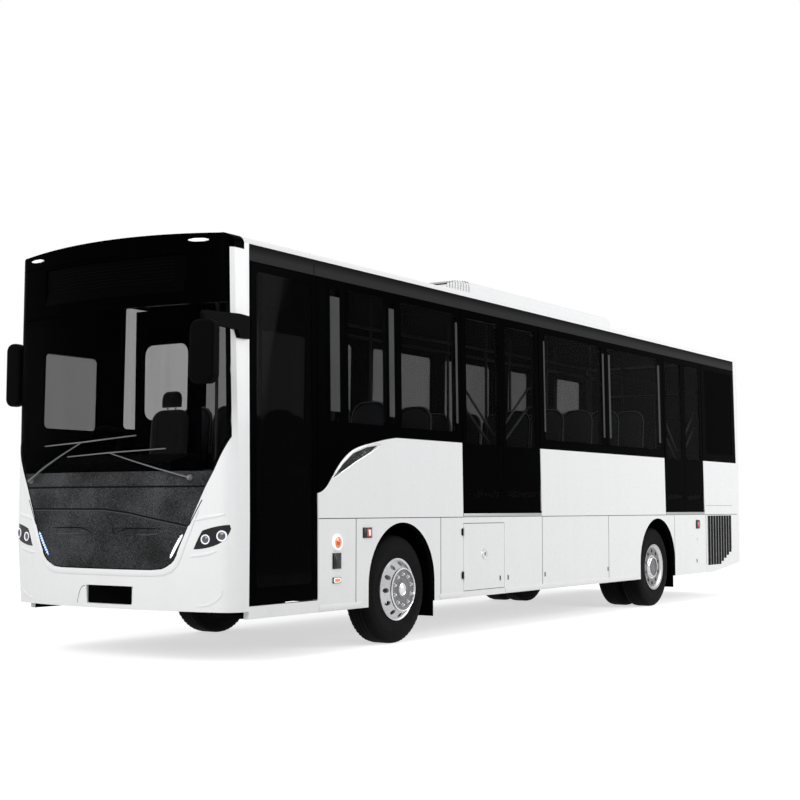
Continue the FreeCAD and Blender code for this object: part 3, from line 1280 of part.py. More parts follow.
def mirrors():
    x1 = MIRROR_REACH
    kerb = mirror_head(x1 - MIRROR_WIDE, x1, MIRROR_FRONT_Y, MIRROR_FOOT_Z, MIRROR_HEAD_Z)
    foot_y = at(FRONT_POST_BACK) - 30
    front_y = MIRROR_FRONT_Y + MIRROR_DEEP / 2
    line = [(foot_y, 2612), (foot_y, 2798), (foot_y - 150, 2802), (front_y, 2775), (front_y - 24, 2750)]
    line += [(front_y - 24, MIRROR_HEAD_Z - 20), (front_y + 40, MIRROR_HEAD_Z - 20), (foot_y - 170, 2672)]
    line += [(foot_y - 135, 2612)]
    root_x = side_x(2700) - 12
    arm = across_x(line, root_x, root_x + MIRROR_ARM_WIDE)
    arm.rotate(V(root_x, foot_y, 0), V(0, 0, 1), MIRROR_ARM_TURN)
    kerb_all = fuse([kerb, arm]).cut(hull(0))
    y0 = NOSE_Y + ROAD_MIRROR_BACK
    road = mirror_head(-x1, -x1 + ROAD_MIRROR_WIDE, y0, ROAD_MIRROR_FOOT_Z, ROAD_MIRROR_HEAD_Z)
    middle_y = y0 + MIRROR_DEEP * 0.6
    arms = []
    for z in ROAD_ARM_Z:
        inner = V(-side_x(z) + 6, middle_y, z)
        arms.append(rod(inner, V(-x1 + ROAD_MIRROR_WIDE / 2, middle_y, z), ROAD_ARM_RADIUS))
    road_all = fuse([road] + arms).cut(hull(0))
    return [kerb_all, road_all]


def wipers():
    blades = []
    for pivot, elbow, tip0, tip1 in (((-967, 1486), (-227, 1801), (-746, 1781), (358, 1844)),
                                     ((873, 1497), (84, 1707), (-429, 1683), (652, 1732))):
        def on_face(p, stand):
            x, z = p
            bow = FRONT_BOW_RADIUS - math.sqrt(FRONT_BOW_RADIUS ** 2 - x * x)
            lean = NOSE_LEAN_TOP * max(0.0, z - NOSE_Z) / (3700.0 - NOSE_Z)
            return V(x, NOSE_Y + bow + lean - stand, z)
        parts = [rod(on_face(pivot, -10), on_face(pivot, 40), 20)]
        parts.append(rod(on_face(pivot, 30), on_face(elbow, 42), 9))
        parts.append(rod(on_face(elbow, 44), on_face(elbow, 22), 9))
        parts.append(rod(on_face(tip0, 24), on_face(elbow, 26), 8))
        parts.append(rod(on_face(elbow, 26), on_face(tip1, 24), 8))
        blades.append(fuse(parts).cut(hull(SCUTTLE_SET)))
    return blades


def main():
    os.makedirs("parts", exist_ok=True)
    shell = hull(0).cut(hull(WALL))
    save("chassis_rails", chassis_rails())
    save("cross_members", cross_members())
    save("floor_deck", floor_deck())
    save("roof_shell", roof(shell))
    save("cant_rails", cant_rails(shell))
    save("roof_pod", roof_pod())
    save("kerb_skirt", skirt(shell, 1))
    save("road_skirt", skirt(shell, -1))
    save("waist_panels", waist_panels(shell))
    kerb_band, road_band = window_bands(shell)
    save("kerb_window_band", kerb_band)
    save("road_window_band", road_band)
    save("side_glass", side_glass())
    save("front_mask", front_mask(shell))
    save("front_cap", front_cap(shell))
    save("display_panel", display_panel())
    save("windscreen", windscreen())
    save("scuttle_panel", scuttle_panel())
    save("grille_panel", grille_panel())
    save("headlamps", headlamps())
    save("rear_wall", rear_wall(shell))
    save("rear_glass", rear_glass())
    save("rear_bumper", rear_bumper(shell))
    save("engine_lid", engine_lid())
    save("signal_lamps", signal_lamps())
    for name, front, back, foot, pivot_at_front, railed in door_places():
        save(name, door(front, back, foot, pivot_at_front, railed))
    save("service_flap", service_flap())
    save("mirrors", mirrors())
    save("wipers", wipers())
    save("wheel_housings", wheel_housings())
    save("front_axle", front_axle())
    save("kerb_knuckle", knuckle(1))
    save("road_knuckle", knuckle(-1))
    save("tie_rod", tie_rod())
    save("rear_axle", rear_axle())
    twin_x = WHEEL_FACE - TYRE_WIDTH - TWIN_GAP
    for name, side in (("kerb", 1), ("road", -1)):
        save("front_" + name + "_tyre", tyre(side, WHEEL_FACE, FRONT_AXLE_Y))
        save("front_" + name + "_rim", front_rim(side, FRONT_AXLE_Y))
        save("rear_" + name + "_tyres", [tyre(side, WHEEL_FACE, REAR_AXLE_Y), tyre(side, twin_x, REAR_AXLE_Y)])
        save("rear_" + name + "_rims", twin_rims(side, REAR_AXLE_Y))
    save("engine", engine())
    save("fuel_tanks", fuel_tank())
    save("dashboard", dashboard())
    save("driver_seat", driver_seat())
    save("passenger_seats", passenger_seats())
    save("grab_rails", grab_rails())
    save("driver_partition", driver_partition())


main()
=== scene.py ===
import math

import bmesh
import bpy
from bpy.props import FloatProperty, FloatVectorProperty, IntProperty, PointerProperty
from bpy.types import Operator, Panel, PropertyGroup
from mathutils import Matrix, Vector
from mathutils.bvhtree import BVHTree


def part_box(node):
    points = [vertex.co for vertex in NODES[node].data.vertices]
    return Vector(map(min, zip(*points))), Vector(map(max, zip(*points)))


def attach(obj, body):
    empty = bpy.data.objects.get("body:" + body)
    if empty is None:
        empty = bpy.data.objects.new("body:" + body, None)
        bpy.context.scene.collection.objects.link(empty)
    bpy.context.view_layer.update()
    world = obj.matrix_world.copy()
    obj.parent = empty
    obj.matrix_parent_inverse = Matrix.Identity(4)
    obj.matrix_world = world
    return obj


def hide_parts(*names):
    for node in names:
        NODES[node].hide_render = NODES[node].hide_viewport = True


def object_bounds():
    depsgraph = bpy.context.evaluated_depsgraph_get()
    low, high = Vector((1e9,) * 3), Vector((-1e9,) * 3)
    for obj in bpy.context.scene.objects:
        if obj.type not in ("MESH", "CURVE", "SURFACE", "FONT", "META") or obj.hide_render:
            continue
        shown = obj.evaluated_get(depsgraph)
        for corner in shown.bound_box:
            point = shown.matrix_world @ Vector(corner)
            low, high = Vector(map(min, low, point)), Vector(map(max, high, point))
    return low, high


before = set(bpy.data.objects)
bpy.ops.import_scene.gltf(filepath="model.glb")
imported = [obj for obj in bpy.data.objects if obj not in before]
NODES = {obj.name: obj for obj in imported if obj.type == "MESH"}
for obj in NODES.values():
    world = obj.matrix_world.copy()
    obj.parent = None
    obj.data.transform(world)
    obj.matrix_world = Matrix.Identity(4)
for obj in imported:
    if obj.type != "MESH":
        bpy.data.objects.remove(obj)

bl_info = {
    "name": "City bus dressing",
    "version": (1, 0, 0),
    "blender": (4, 5, 0),
    "location": "3D View > Sidebar > City Bus",
    "description": "Gives the packed city bus its paint, glass, tyres, lamps, cabin and stage",
    "category": "Object",
}

LOW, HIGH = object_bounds()
FRONT_AXLE = sum(v.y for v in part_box("front_kerb_tyre")) / 2
REAR_AXLE = sum(v.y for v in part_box("rear_kerb_tyres")) / 2
WHEEL_RADIUS = (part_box("front_kerb_tyre")[1].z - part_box("front_kerb_tyre")[0].z) / 2
TYRE_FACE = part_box("front_kerb_tyre")[1].x
TYRE_WIDTH = TYRE_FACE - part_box("front_kerb_tyre")[0].x
FLOOR_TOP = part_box("floor_deck")[1].z
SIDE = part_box("kerb_skirt")[1].x
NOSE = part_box("front_mask")[0].y
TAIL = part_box("rear_wall")[1].y
LEAF_THICK = 0.049
FACE_PANELS = ("grille_panel", "scuttle_panel", "windscreen", "display_panel")


def at(distance):
    """Place on Y from a distance behind the front axle."""
    return FRONT_AXLE + distance


# Sizes and colours that a user would change

class BusPaint(PropertyGroup):
    """Paint of the body and its panels."""

    white: FloatVectorProperty(name="White paint", description="Colour of the white panels", subtype="COLOR",
                               size=3, min=0, max=1, default=(0.80, 0.805, 0.81))
    black: FloatVectorProperty(name="Black paint", description="Colour of the window bands, cap and doors",
                               subtype="COLOR", size=3, min=0, max=1, default=(0.0006, 0.0006, 0.0007))
    face: FloatVectorProperty(name="Grained face", description="Colour of the grille and scuttle panels",
                              subtype="COLOR", size=3, min=0, max=1, default=(0.012, 0.0122, 0.0128))
    dust: FloatProperty(name="Road dust", description="How much dust lies along the foot of the body",
                        subtype="FACTOR", min=0, max=1, default=0.12)
    grain: FloatProperty(name="Grain size", description="Size of one grain of the moulded face",
                         subtype="DISTANCE", unit="LENGTH", min=0.001, max=0.1, default=0.015)


class BusGlass(PropertyGroup):
    """Tint of the glass."""

    side_tint: FloatProperty(name="Side tint",
                             description="Share of light that one face of a side window stops",
                             subtype="FACTOR", min=0, max=1, default=0.387)
    screen_tint: FloatProperty(name="Screen tint",
                               description="Share of light that one face of the windscreen stops",
                               subtype="FACTOR", min=0, max=1, default=0.16)
    colour: FloatVectorProperty(name="Tint colour", description="Colour of the glass body", subtype="COLOR",
                                size=3, min=0, max=1, default=(0.001, 0.001, 0.0012))


class BusWheels(PropertyGroup):
    """Tyres and wheels."""

    rubber: FloatVectorProperty(name="Rubber", description="Colour of the tyres", subtype="COLOR", size=3,
                                min=0, max=1, default=(0.0035, 0.0035, 0.0037))
    silver: FloatVectorProperty(name="Wheel silver", description="Colour of the wheels", subtype="COLOR",
                                size=3, min=0, max=1, default=(0.50, 0.50, 0.51))
    groove_depth: FloatProperty(name="Groove depth", description="Depth of the tread grooves",
                                subtype="DISTANCE", unit="LENGTH", min=0.002, max=0.02, default=0.012)
    groove_width: FloatProperty(name="Groove width", description="Width of one tread groove",
                                subtype="DISTANCE", unit="LENGTH", min=0.002, max=0.02, default=0.008)
    lugs: IntProperty(name="Shoulder lugs", description="Lugs around each tyre shoulder", min=20, max=90,
                      default=60)
    nuts: IntProperty(name="Wheel nuts", description="Nuts that hold each wheel", min=6, max=12, default=10)


class BusLamps(PropertyGroup):
    """Lamp lenses."""

    lens_radius: FloatProperty(name="Projector radius", description="Radius of one headlamp lens",
                               subtype="DISTANCE", unit="LENGTH", min=0.02, max=0.06, default=0.031)
    amber: FloatVectorProperty(name="Amber lens", description="Colour of turn signal lenses", subtype="COLOR",
                               size=3, min=0, max=1, default=(0.85, 0.22, 0.02))
    red: FloatVectorProperty(name="Red lens", description="Colour of tail and marker lenses", subtype="COLOR",
                             size=3, min=0, max=1, default=(0.60, 0.015, 0.012))
    daylight: FloatVectorProperty(name="Daylight strip",
                                  description="Tint of the light strips beside the grille",
                                  subtype="COLOR", size=3, min=0, max=1, default=(0.22, 0.42, 0.90))


class BusCabin(PropertyGroup):
    """Seats of the cabin."""

    shell: FloatVectorProperty(name="Seat shell", description="Colour of the passenger seat shells",
                               subtype="COLOR", size=3, min=0, max=1, default=(0.016, 0.0165, 0.018))
    cloth: FloatVectorProperty(name="Seat cloth", description="Colour of the seat pads", subtype="COLOR",
                               size=3, min=0, max=1, default=(0.03, 0.032, 0.038))
    piping: FloatVectorProperty(name="Piping", description="Colour of the seat piping", subtype="COLOR",
                                size=3, min=0, max=1, default=(0.20, 0.20, 0.205))


class BusStage(PropertyGroup):
    """Camera, light and floor."""

    lens: FloatProperty(name="Lens", description="Focal length of the camera", subtype="DISTANCE_CAMERA",
                        unit="CAMERA", min=10, max=200, default=63.65)
    sky: FloatProperty(name="Sky level", description="Strength of the even light around the bus", min=0,
                       max=3, default=0.60)
    key: FloatProperty(name="Key level", description="Power of the large soft lamp", subtype="POWER",
                       unit="POWER", min=0, max=20000, default=1450.0)
    floor: FloatVectorProperty(name="Floor", description="Colour of the studio floor", subtype="COLOR",
                               size=3, min=0, max=1, default=(0.72, 0.72, 0.72))


# Node tools

def add_node(tree, kind, values=None, **settings):
    """New node with its settings and the values of its sockets."""
    node = tree.nodes.new(kind)
    for key, value in settings.items():
        setattr(node, key, value)
    for key, value in (values or {}).items():
        node.inputs[key].default_value = value
    return node


def wire(tree, source, target):
    """Link a socket to another."""
    tree.links.new(source, target)


def colour4(rgb, gain=1.0):
    """Colour with an alpha of 1."""
    return tuple(min(1.0, c * gain) for c in rgb) + (1.0,)


def new_group(name, takes, gives):
    """Empty shader group with float inputs (name, value) and outputs (name, socket kind)."""
    tree = bpy.data.node_groups.new(name, "ShaderNodeTree")
    for label, value in takes:
        socket = tree.interface.new_socket(label, in_out="INPUT", socket_type="NodeSocketFloat")
        socket.default_value = value
    for label, kind in gives:
        tree.interface.new_socket(label, in_out="OUTPUT", socket_type=kind)
    return tree, tree.nodes.new("NodeGroupInput"), tree.nodes.new("NodeGroupOutput")


def place_of(tree):
    """Place on the object, in metres."""
    return add_node(tree, "ShaderNodeTexCoord").outputs["Object"]


def maths(tree, operation, first, second=None, clamp=False):
    """Result of a sum of numbers or sockets."""
    node = add_node(tree, "ShaderNodeMath", operation=operation, use_clamp=clamp)
    for socket, value in zip(node.inputs, (first, second)):
        if value is None:
            continue
        if isinstance(value, (int, float)):
            socket.default_value = value
        else:
            wire(tree, value, socket)
    return node.outputs[0]


def span(tree, value, low, high, to_low=0.0, to_high=1.0):
    """Value moved from one range to another, held at both ends."""
    node = add_node(tree, "ShaderNodeMapRange", {"To Min": to_low, "To Max": to_high})
    wire(tree, value, node.inputs["Value"])
    for key, edge in (("From Min", low), ("From Max", high)):
        if isinstance(edge, (int, float)):
            node.inputs[key].default_value = edge
        else:
            wire(tree, edge, node.inputs[key])
    return node.outputs["Result"]


def noise(tree, place, scale, detail=3.0, roughness=0.5):
    """Smooth noise at a place, from 0 to 1."""
    node = add_node(tree, "ShaderNodeTexNoise", {"Detail": detail, "Roughness": roughness})
    wire(tree, place, node.inputs["Vector"])
    if isinstance(scale, (int, float)):
        node.inputs["Scale"].default_value = scale
    else:
        wire(tree, scale, node.inputs["Scale"])
    return node.outputs["Fac"]


def height_in(tree, place):
    """Height of a place above the ground."""
    apart = add_node(tree, "ShaderNodeSeparateXYZ")
    wire(tree, place, apart.inputs[0])
    return apart.outputs["Z"]


def group_road_dust():
    """Mask that is strongest at a height and fades out above it, broken up by noise."""
    takes = [("Foot", 0.4), ("Reach", 0.6), ("Amount", 0.2), ("Scale", 3.0)]
    tree, take, give = new_group("Road dust", takes, [("Mask", "NodeSocketFloat")])
    place = place_of(tree)
    head = maths(tree, "ADD", take.outputs["Foot"], take.outputs["Reach"])
    fade = span(tree, height_in(tree, place), take.outputs["Foot"], head, 1.0, 0.0)
    cloud = span(tree, noise(tree, place, take.outputs["Scale"], 5.0, 0.65), 0.3, 0.75, 0.15, 1.0)
    mask = maths(tree, "MULTIPLY", maths(tree, "MULTIPLY", fade, cloud), take.outputs["Amount"], True)
    wire(tree, mask, give.inputs["Mask"])
    return tree


def group_rain_streaks():
    """Tall narrow streaks, as rain leaves them on an upright panel."""
    takes = [("Scale", 9.0), ("Amount", 0.1)]
    tree, take, give = new_group("Rain streaks", takes, [("Mask", "NodeSocketFloat")])
    stretch = add_node(tree, "ShaderNodeMapping")
    stretch.inputs["Scale"].default_value = (1.0, 1.0, 0.06)
    wire(tree, place_of(tree), stretch.inputs["Vector"])
    lines = span(tree, noise(tree, stretch.outputs[0], take.outputs["Scale"], 4.0, 0.7), 0.45, 0.75)
    wire(tree, maths(tree, "MULTIPLY", lines, take.outputs["Amount"], True), give.inputs["Mask"])
    return tree


def group_paint_ripple():
    """Slow ripple of sheet panels and the fine peel of sprayed paint, as a height and a fine speckle."""
    tree, take, give = new_group("Paint ripple", [("Panel", 1.4), ("Peel", 90.0)],
                                 [("Height", "NodeSocketFloat"), ("Speckle", "NodeSocketFloat")])
    place = place_of(tree)
    slow = noise(tree, place, take.outputs["Panel"], 2.0)
    fine = noise(tree, place, take.outputs["Peel"], 2.0)
    height = maths(tree, "ADD", slow, maths(tree, "MULTIPLY", fine, 0.02))
    wire(tree, height, give.inputs["Height"])
    wire(tree, noise(tree, place, 46.0, 4.0, 0.8), give.inputs["Speckle"])
    return tree


def group_moulded_grain():
    """Leather-like grain of moulded panels, as a height, with a cloudy shade."""
    tree, take, give = new_group("Moulded grain", [("Scale", 80.0), ("Cloud", 4.0)],
                                 [("Height", "NodeSocketFloat"), ("Shade", "NodeSocketFloat")])
    place = place_of(tree)
    cells = add_node(tree, "ShaderNodeTexVoronoi", feature="SMOOTH_F1")
    wire(tree, place, cells.inputs["Vector"])
    wire(tree, take.outputs["Scale"], cells.inputs["Scale"])
    fine = noise(tree, place, maths(tree, "MULTIPLY", take.outputs["Scale"], 2.0), 3.0, 0.7)
    wire(tree, maths(tree, "ADD", cells.outputs["Distance"], fine), give.inputs["Height"])
    cloud = noise(tree, place, take.outputs["Cloud"], 3.0)
    wire(tree, maths(tree, "ADD", maths(tree, "MULTIPLY", fine, 0.7), maths(tree, "MULTIPLY", cloud, 0.3)),
         give.inputs["Shade"])
    return tree


def group_woven_cloth():
    """Crossed threads, as a height and a thread shade."""
    tree, take, give = new_group("Woven cloth", [("Threads", 260.0)],
                                 [("Height", "NodeSocketFloat"), ("Shade", "NodeSocketFloat")])
    place = place_of(tree)
    heights = []
    for direction in ("X", "Z"):
        waves = add_node(tree, "ShaderNodeTexWave", bands_direction=direction)
        waves.inputs["Distortion"].default_value = 1.0
        wire(tree, place, waves.inputs["Vector"])
        wire(tree, take.outputs["Threads"], waves.inputs["Scale"])
        heights.append(waves.outputs["Fac"])
    wire(tree, maths(tree, "MAXIMUM", heights[0], heights[1]), give.inputs["Height"])
    wire(tree, noise(tree, place, take.outputs["Threads"], 2.0), give.inputs["Shade"])
    return tree


def group_brushed():
    """Turned or rolled metal: fine uneven lines, as a value for roughness and a height."""
    tree, take, give = new_group("Brushed metal", [("Scale", 30.0)],
                                 [("Value", "NodeSocketFloat"), ("Height", "NodeSocketFloat")])
    place = place_of(tree)
    wire(tree, noise(tree, place, take.outputs["Scale"], 5.0, 0.7), give.inputs["Value"])
    fine = maths(tree, "MULTIPLY", take.outputs["Scale"], 5.0)
    wire(tree, noise(tree, place, fine, 2.0), give.inputs["Height"])
    return tree


SHARED = {}
FINISH = {}


GROUP_MAKERS = {"Road dust": group_road_dust, "Rain streaks": group_rain_streaks,
                "Paint ripple": group_paint_ripple, "Moulded grain": group_moulded_grain,
                "Woven cloth": group_woven_cloth, "Brushed metal": group_brushed}


def shared(name):
    """The shader group with this name, made the first time that it is asked for."""
    if name not in SHARED:
        SHARED[name] = GROUP_MAKERS[name]()
    return SHARED[name]


def use_group(tree, name, **values):
    """Node that uses a shared group, with the values of its sockets."""
    node = add_node(tree, "ShaderNodeGroup")
    node.node_tree = shared(name)
    for key, value in values.items():
        node.inputs[key].default_value = value
    return node


class Finish:
    """One material: its Principled shader and small tools to dress it."""

    def __init__(self, name, colour, roughness, metallic=0.0, specular=0.5, coat=0.0, alpha=1.0):
        self.material = bpy.data.materials.new(name)
        self.material.use_nodes = True
        self.tree = self.material.node_tree
        self.shader = self.tree.nodes["Principled BSDF"]
        sockets = self.shader.inputs
        sockets["Base Color"].default_value = colour4(colour)
        sockets["Roughness"].default_value = roughness
        sockets["Metallic"].default_value = metallic
        sockets["Specular IOR Level"].default_value = specular
        sockets["Coat Weight"].default_value = coat
        sockets["Coat Roughness"].default_value = 0.08
        sockets["Alpha"].default_value = alpha
        self.colour = None
        self.base = colour

    def blend(self, mask, colour):
        """Lay another colour over the base where the mask is."""
        mix = add_node(self.tree, "ShaderNodeMix", data_type="RGBA")
        wire(self.tree, mask, mix.inputs["Factor"])
        if self.colour is None:
            mix.inputs[6].default_value = colour4(self.base)
        else:
            wire(self.tree, self.colour, mix.inputs[6])
        mix.inputs[7].default_value = colour4(colour)
        self.colour = mix.outputs[2]
        wire(self.tree, self.colour, self.shader.inputs["Base Color"])

    def vary(self, value, low, high, socket="Roughness"):
        wire(self.tree, span(self.tree, value, 0.3, 0.7, low, high), self.shader.inputs[socket])

    def bump(self, height, strength, distance=0.002):
        node = add_node(self.tree, "ShaderNodeBump", {"Strength": strength, "Distance": distance})
        wire(self.tree, height, node.inputs["Height"])
        wire(self.tree, node.outputs[0], self.shader.inputs["Normal"])


def finish_body_white(name):
    paint = bpy.context.scene.bus_paint
    finish = Finish(name, paint.white, 0.3, specular=0.4, coat=0.2)
    ripple = use_group(finish.tree, "Paint ripple", Panel=1.1, Peel=120.0)
    speckle = span(finish.tree, ripple.outputs["Speckle"], 0.35, 0.75, 0.0, 0.5)
    finish.blend(speckle, [c * 0.90 for c in paint.white])
    streaks = use_group(finish.tree, "Rain streaks", Scale=7.0, Amount=0.10)
    finish.blend(streaks.outputs["Mask"], (0.60, 0.60, 0.60))
    dust = use_group(finish.tree, "Road dust", Foot=0.36, Reach=0.55, Amount=paint.dust, Scale=2.6)
    finish.blend(dust.outputs["Mask"], (0.42, 0.40, 0.37))
    finish.vary(ripple.outputs["Speckle"], 0.24, 0.36)
    finish.bump(ripple.outputs["Height"], 0.25, 0.004)
    return finish.material


def finish_body_black(name):
    paint = bpy.context.scene.bus_paint
    finish = Finish(name, paint.black, 0.2, specular=0.002)
    ripple = use_group(finish.tree, "Paint ripple", Panel=0.9, Peel=120.0)
    dust = use_group(finish.tree, "Road dust", Foot=0.4, Reach=0.9, Amount=paint.dust * 0.3, Scale=4.0)
    finish.blend(dust.outputs["Mask"], (0.03, 0.03, 0.028))
    finish.vary(ripple.outputs["Speckle"], 0.14, 0.26)
    finish.bump(ripple.outputs["Height"], 0.12, 0.003)
    return finish.material


def finish_cant_grey(name):
    """Grey band that darkens to black towards the roof."""
    finish = Finish(name, (0.0008, 0.0008, 0.0009), 0.45, specular=0.02)
    grain = use_group(finish.tree, "Moulded grain", Scale=240.0, Cloud=1.2)
    low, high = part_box("cant_rails")
    height = height_in(finish.tree, place_of(finish.tree))
    finish.blend(span(finish.tree, height, low.z + 0.055, high.z - 0.020, 1.0, 0.0), (0.021, 0.021, 0.022))
    finish.bump(grain.outputs["Height"], 0.08, 0.001)
    return finish.material


def finish_glass(name, tint, gloss=0.012):
    glass = bpy.context.scene.bus_glass
    finish = Finish(name, glass.colour, 0.03, specular=gloss, alpha=tint)
    smear = use_group(finish.tree, "Rain streaks", Scale=5.0, Amount=1.0)
    finish.vary(smear.outputs["Mask"], 0.02, 0.07)
    film = span(finish.tree, smear.outputs["Mask"], 0.0, 1.0, tint, min(1.0, tint + 0.03))
    wire(finish.tree, film, finish.shader.inputs["Alpha"])
    return finish.material


def finish_grained(name, colour, size, roughness=0.55, specular=0.3, lift=1.5, edges=(0.42, 0.66)):
    finish = Finish(name, colour, roughness, specular=specular)
    grain = use_group(finish.tree, "Moulded grain", Scale=1.0 / size, Cloud=3.0)
    finish.blend(span(finish.tree, grain.outputs["Shade"], *edges), [c * lift for c in colour])
    finish.vary(grain.outputs["Shade"], roughness - 0.1, roughness + 0.12)
    finish.bump(grain.outputs["Height"], 0.35, size * 0.15)
    return finish.material


def finish_rubber(name):
    finish = Finish(name, bpy.context.scene.bus_wheels.rubber, 0.75, specular=0.06)
    dust = use_group(finish.tree, "Road dust", Foot=0.0, Reach=1.4, Amount=0.30, Scale=9.0)
    finish.blend(dust.outputs["Mask"], (0.016, 0.0157, 0.015))
    grain = use_group(finish.tree, "Moulded grain", Scale=300.0, Cloud=14.0)
    finish.vary(grain.outputs["Shade"], 0.66, 0.86)
    finish.bump(grain.outputs["Height"], 0.25, 0.001)
    return finish.material


def finish_metal(name, colour, roughness, scale=30.0, metallic=0.85):
    finish = Finish(name, colour, roughness, metallic=metallic)
    lines = use_group(finish.tree, "Brushed metal", Scale=scale)
    finish.blend(span(finish.tree, lines.outputs["Value"], 0.5, 0.85, 0.0, 0.5), [c * 0.55 for c in colour])
    finish.vary(lines.outputs["Value"], roughness - 0.08, roughness + 0.12)
    finish.bump(lines.outputs["Height"], 0.15, 0.0006)
    return finish.material


def finish_cloth(name, colour):
    finish = Finish(name, colour, 0.85, specular=0.25)
    finish.shader.inputs["Sheen Weight"].default_value = 0.25
    weave = use_group(finish.tree, "Woven cloth", Threads=210.0)
    finish.blend(span(finish.tree, weave.outputs["Shade"], 0.4, 0.7), [c * 1.7 for c in colour])
    finish.bump(weave.outputs["Height"], 0.35, 0.0008)
    return finish.material


def finish_speckled(name, colour):
    """Dark film with pale flakes scattered through it."""
    finish = Finish(name, colour, 0.5, specular=0.1)
    flakes = use_group(finish.tree, "Moulded grain", Scale=70.0, Cloud=9.0)
    finish.blend(span(finish.tree, flakes.outputs["Shade"], 0.58, 0.64), (0.55, 0.55, 0.56))
    finish.bump(flakes.outputs["Height"], 0.3, 0.002)
    return finish.material


def finish_lens(name, colour, glow=0.0):
    """Ribbed plastic lens, with a glow of its own colour."""
    finish = Finish(name, colour, 0.08, specular=0.5, coat=0.5)
    cells = use_group(finish.tree, "Moulded grain", Scale=150.0, Cloud=20.0)
    shade = span(finish.tree, cells.outputs["Shade"], 0.45, 0.7, 0.0, 0.5)
    finish.blend(shade, [min(1.0, c * 1.3) for c in colour])
    finish.bump(cells.outputs["Height"], 0.2, 0.0008)
    if glow:
        finish.shader.inputs["Emission Color"].default_value = colour4(colour)
        finish.shader.inputs["Emission Strength"].default_value = glow
    return finish.material


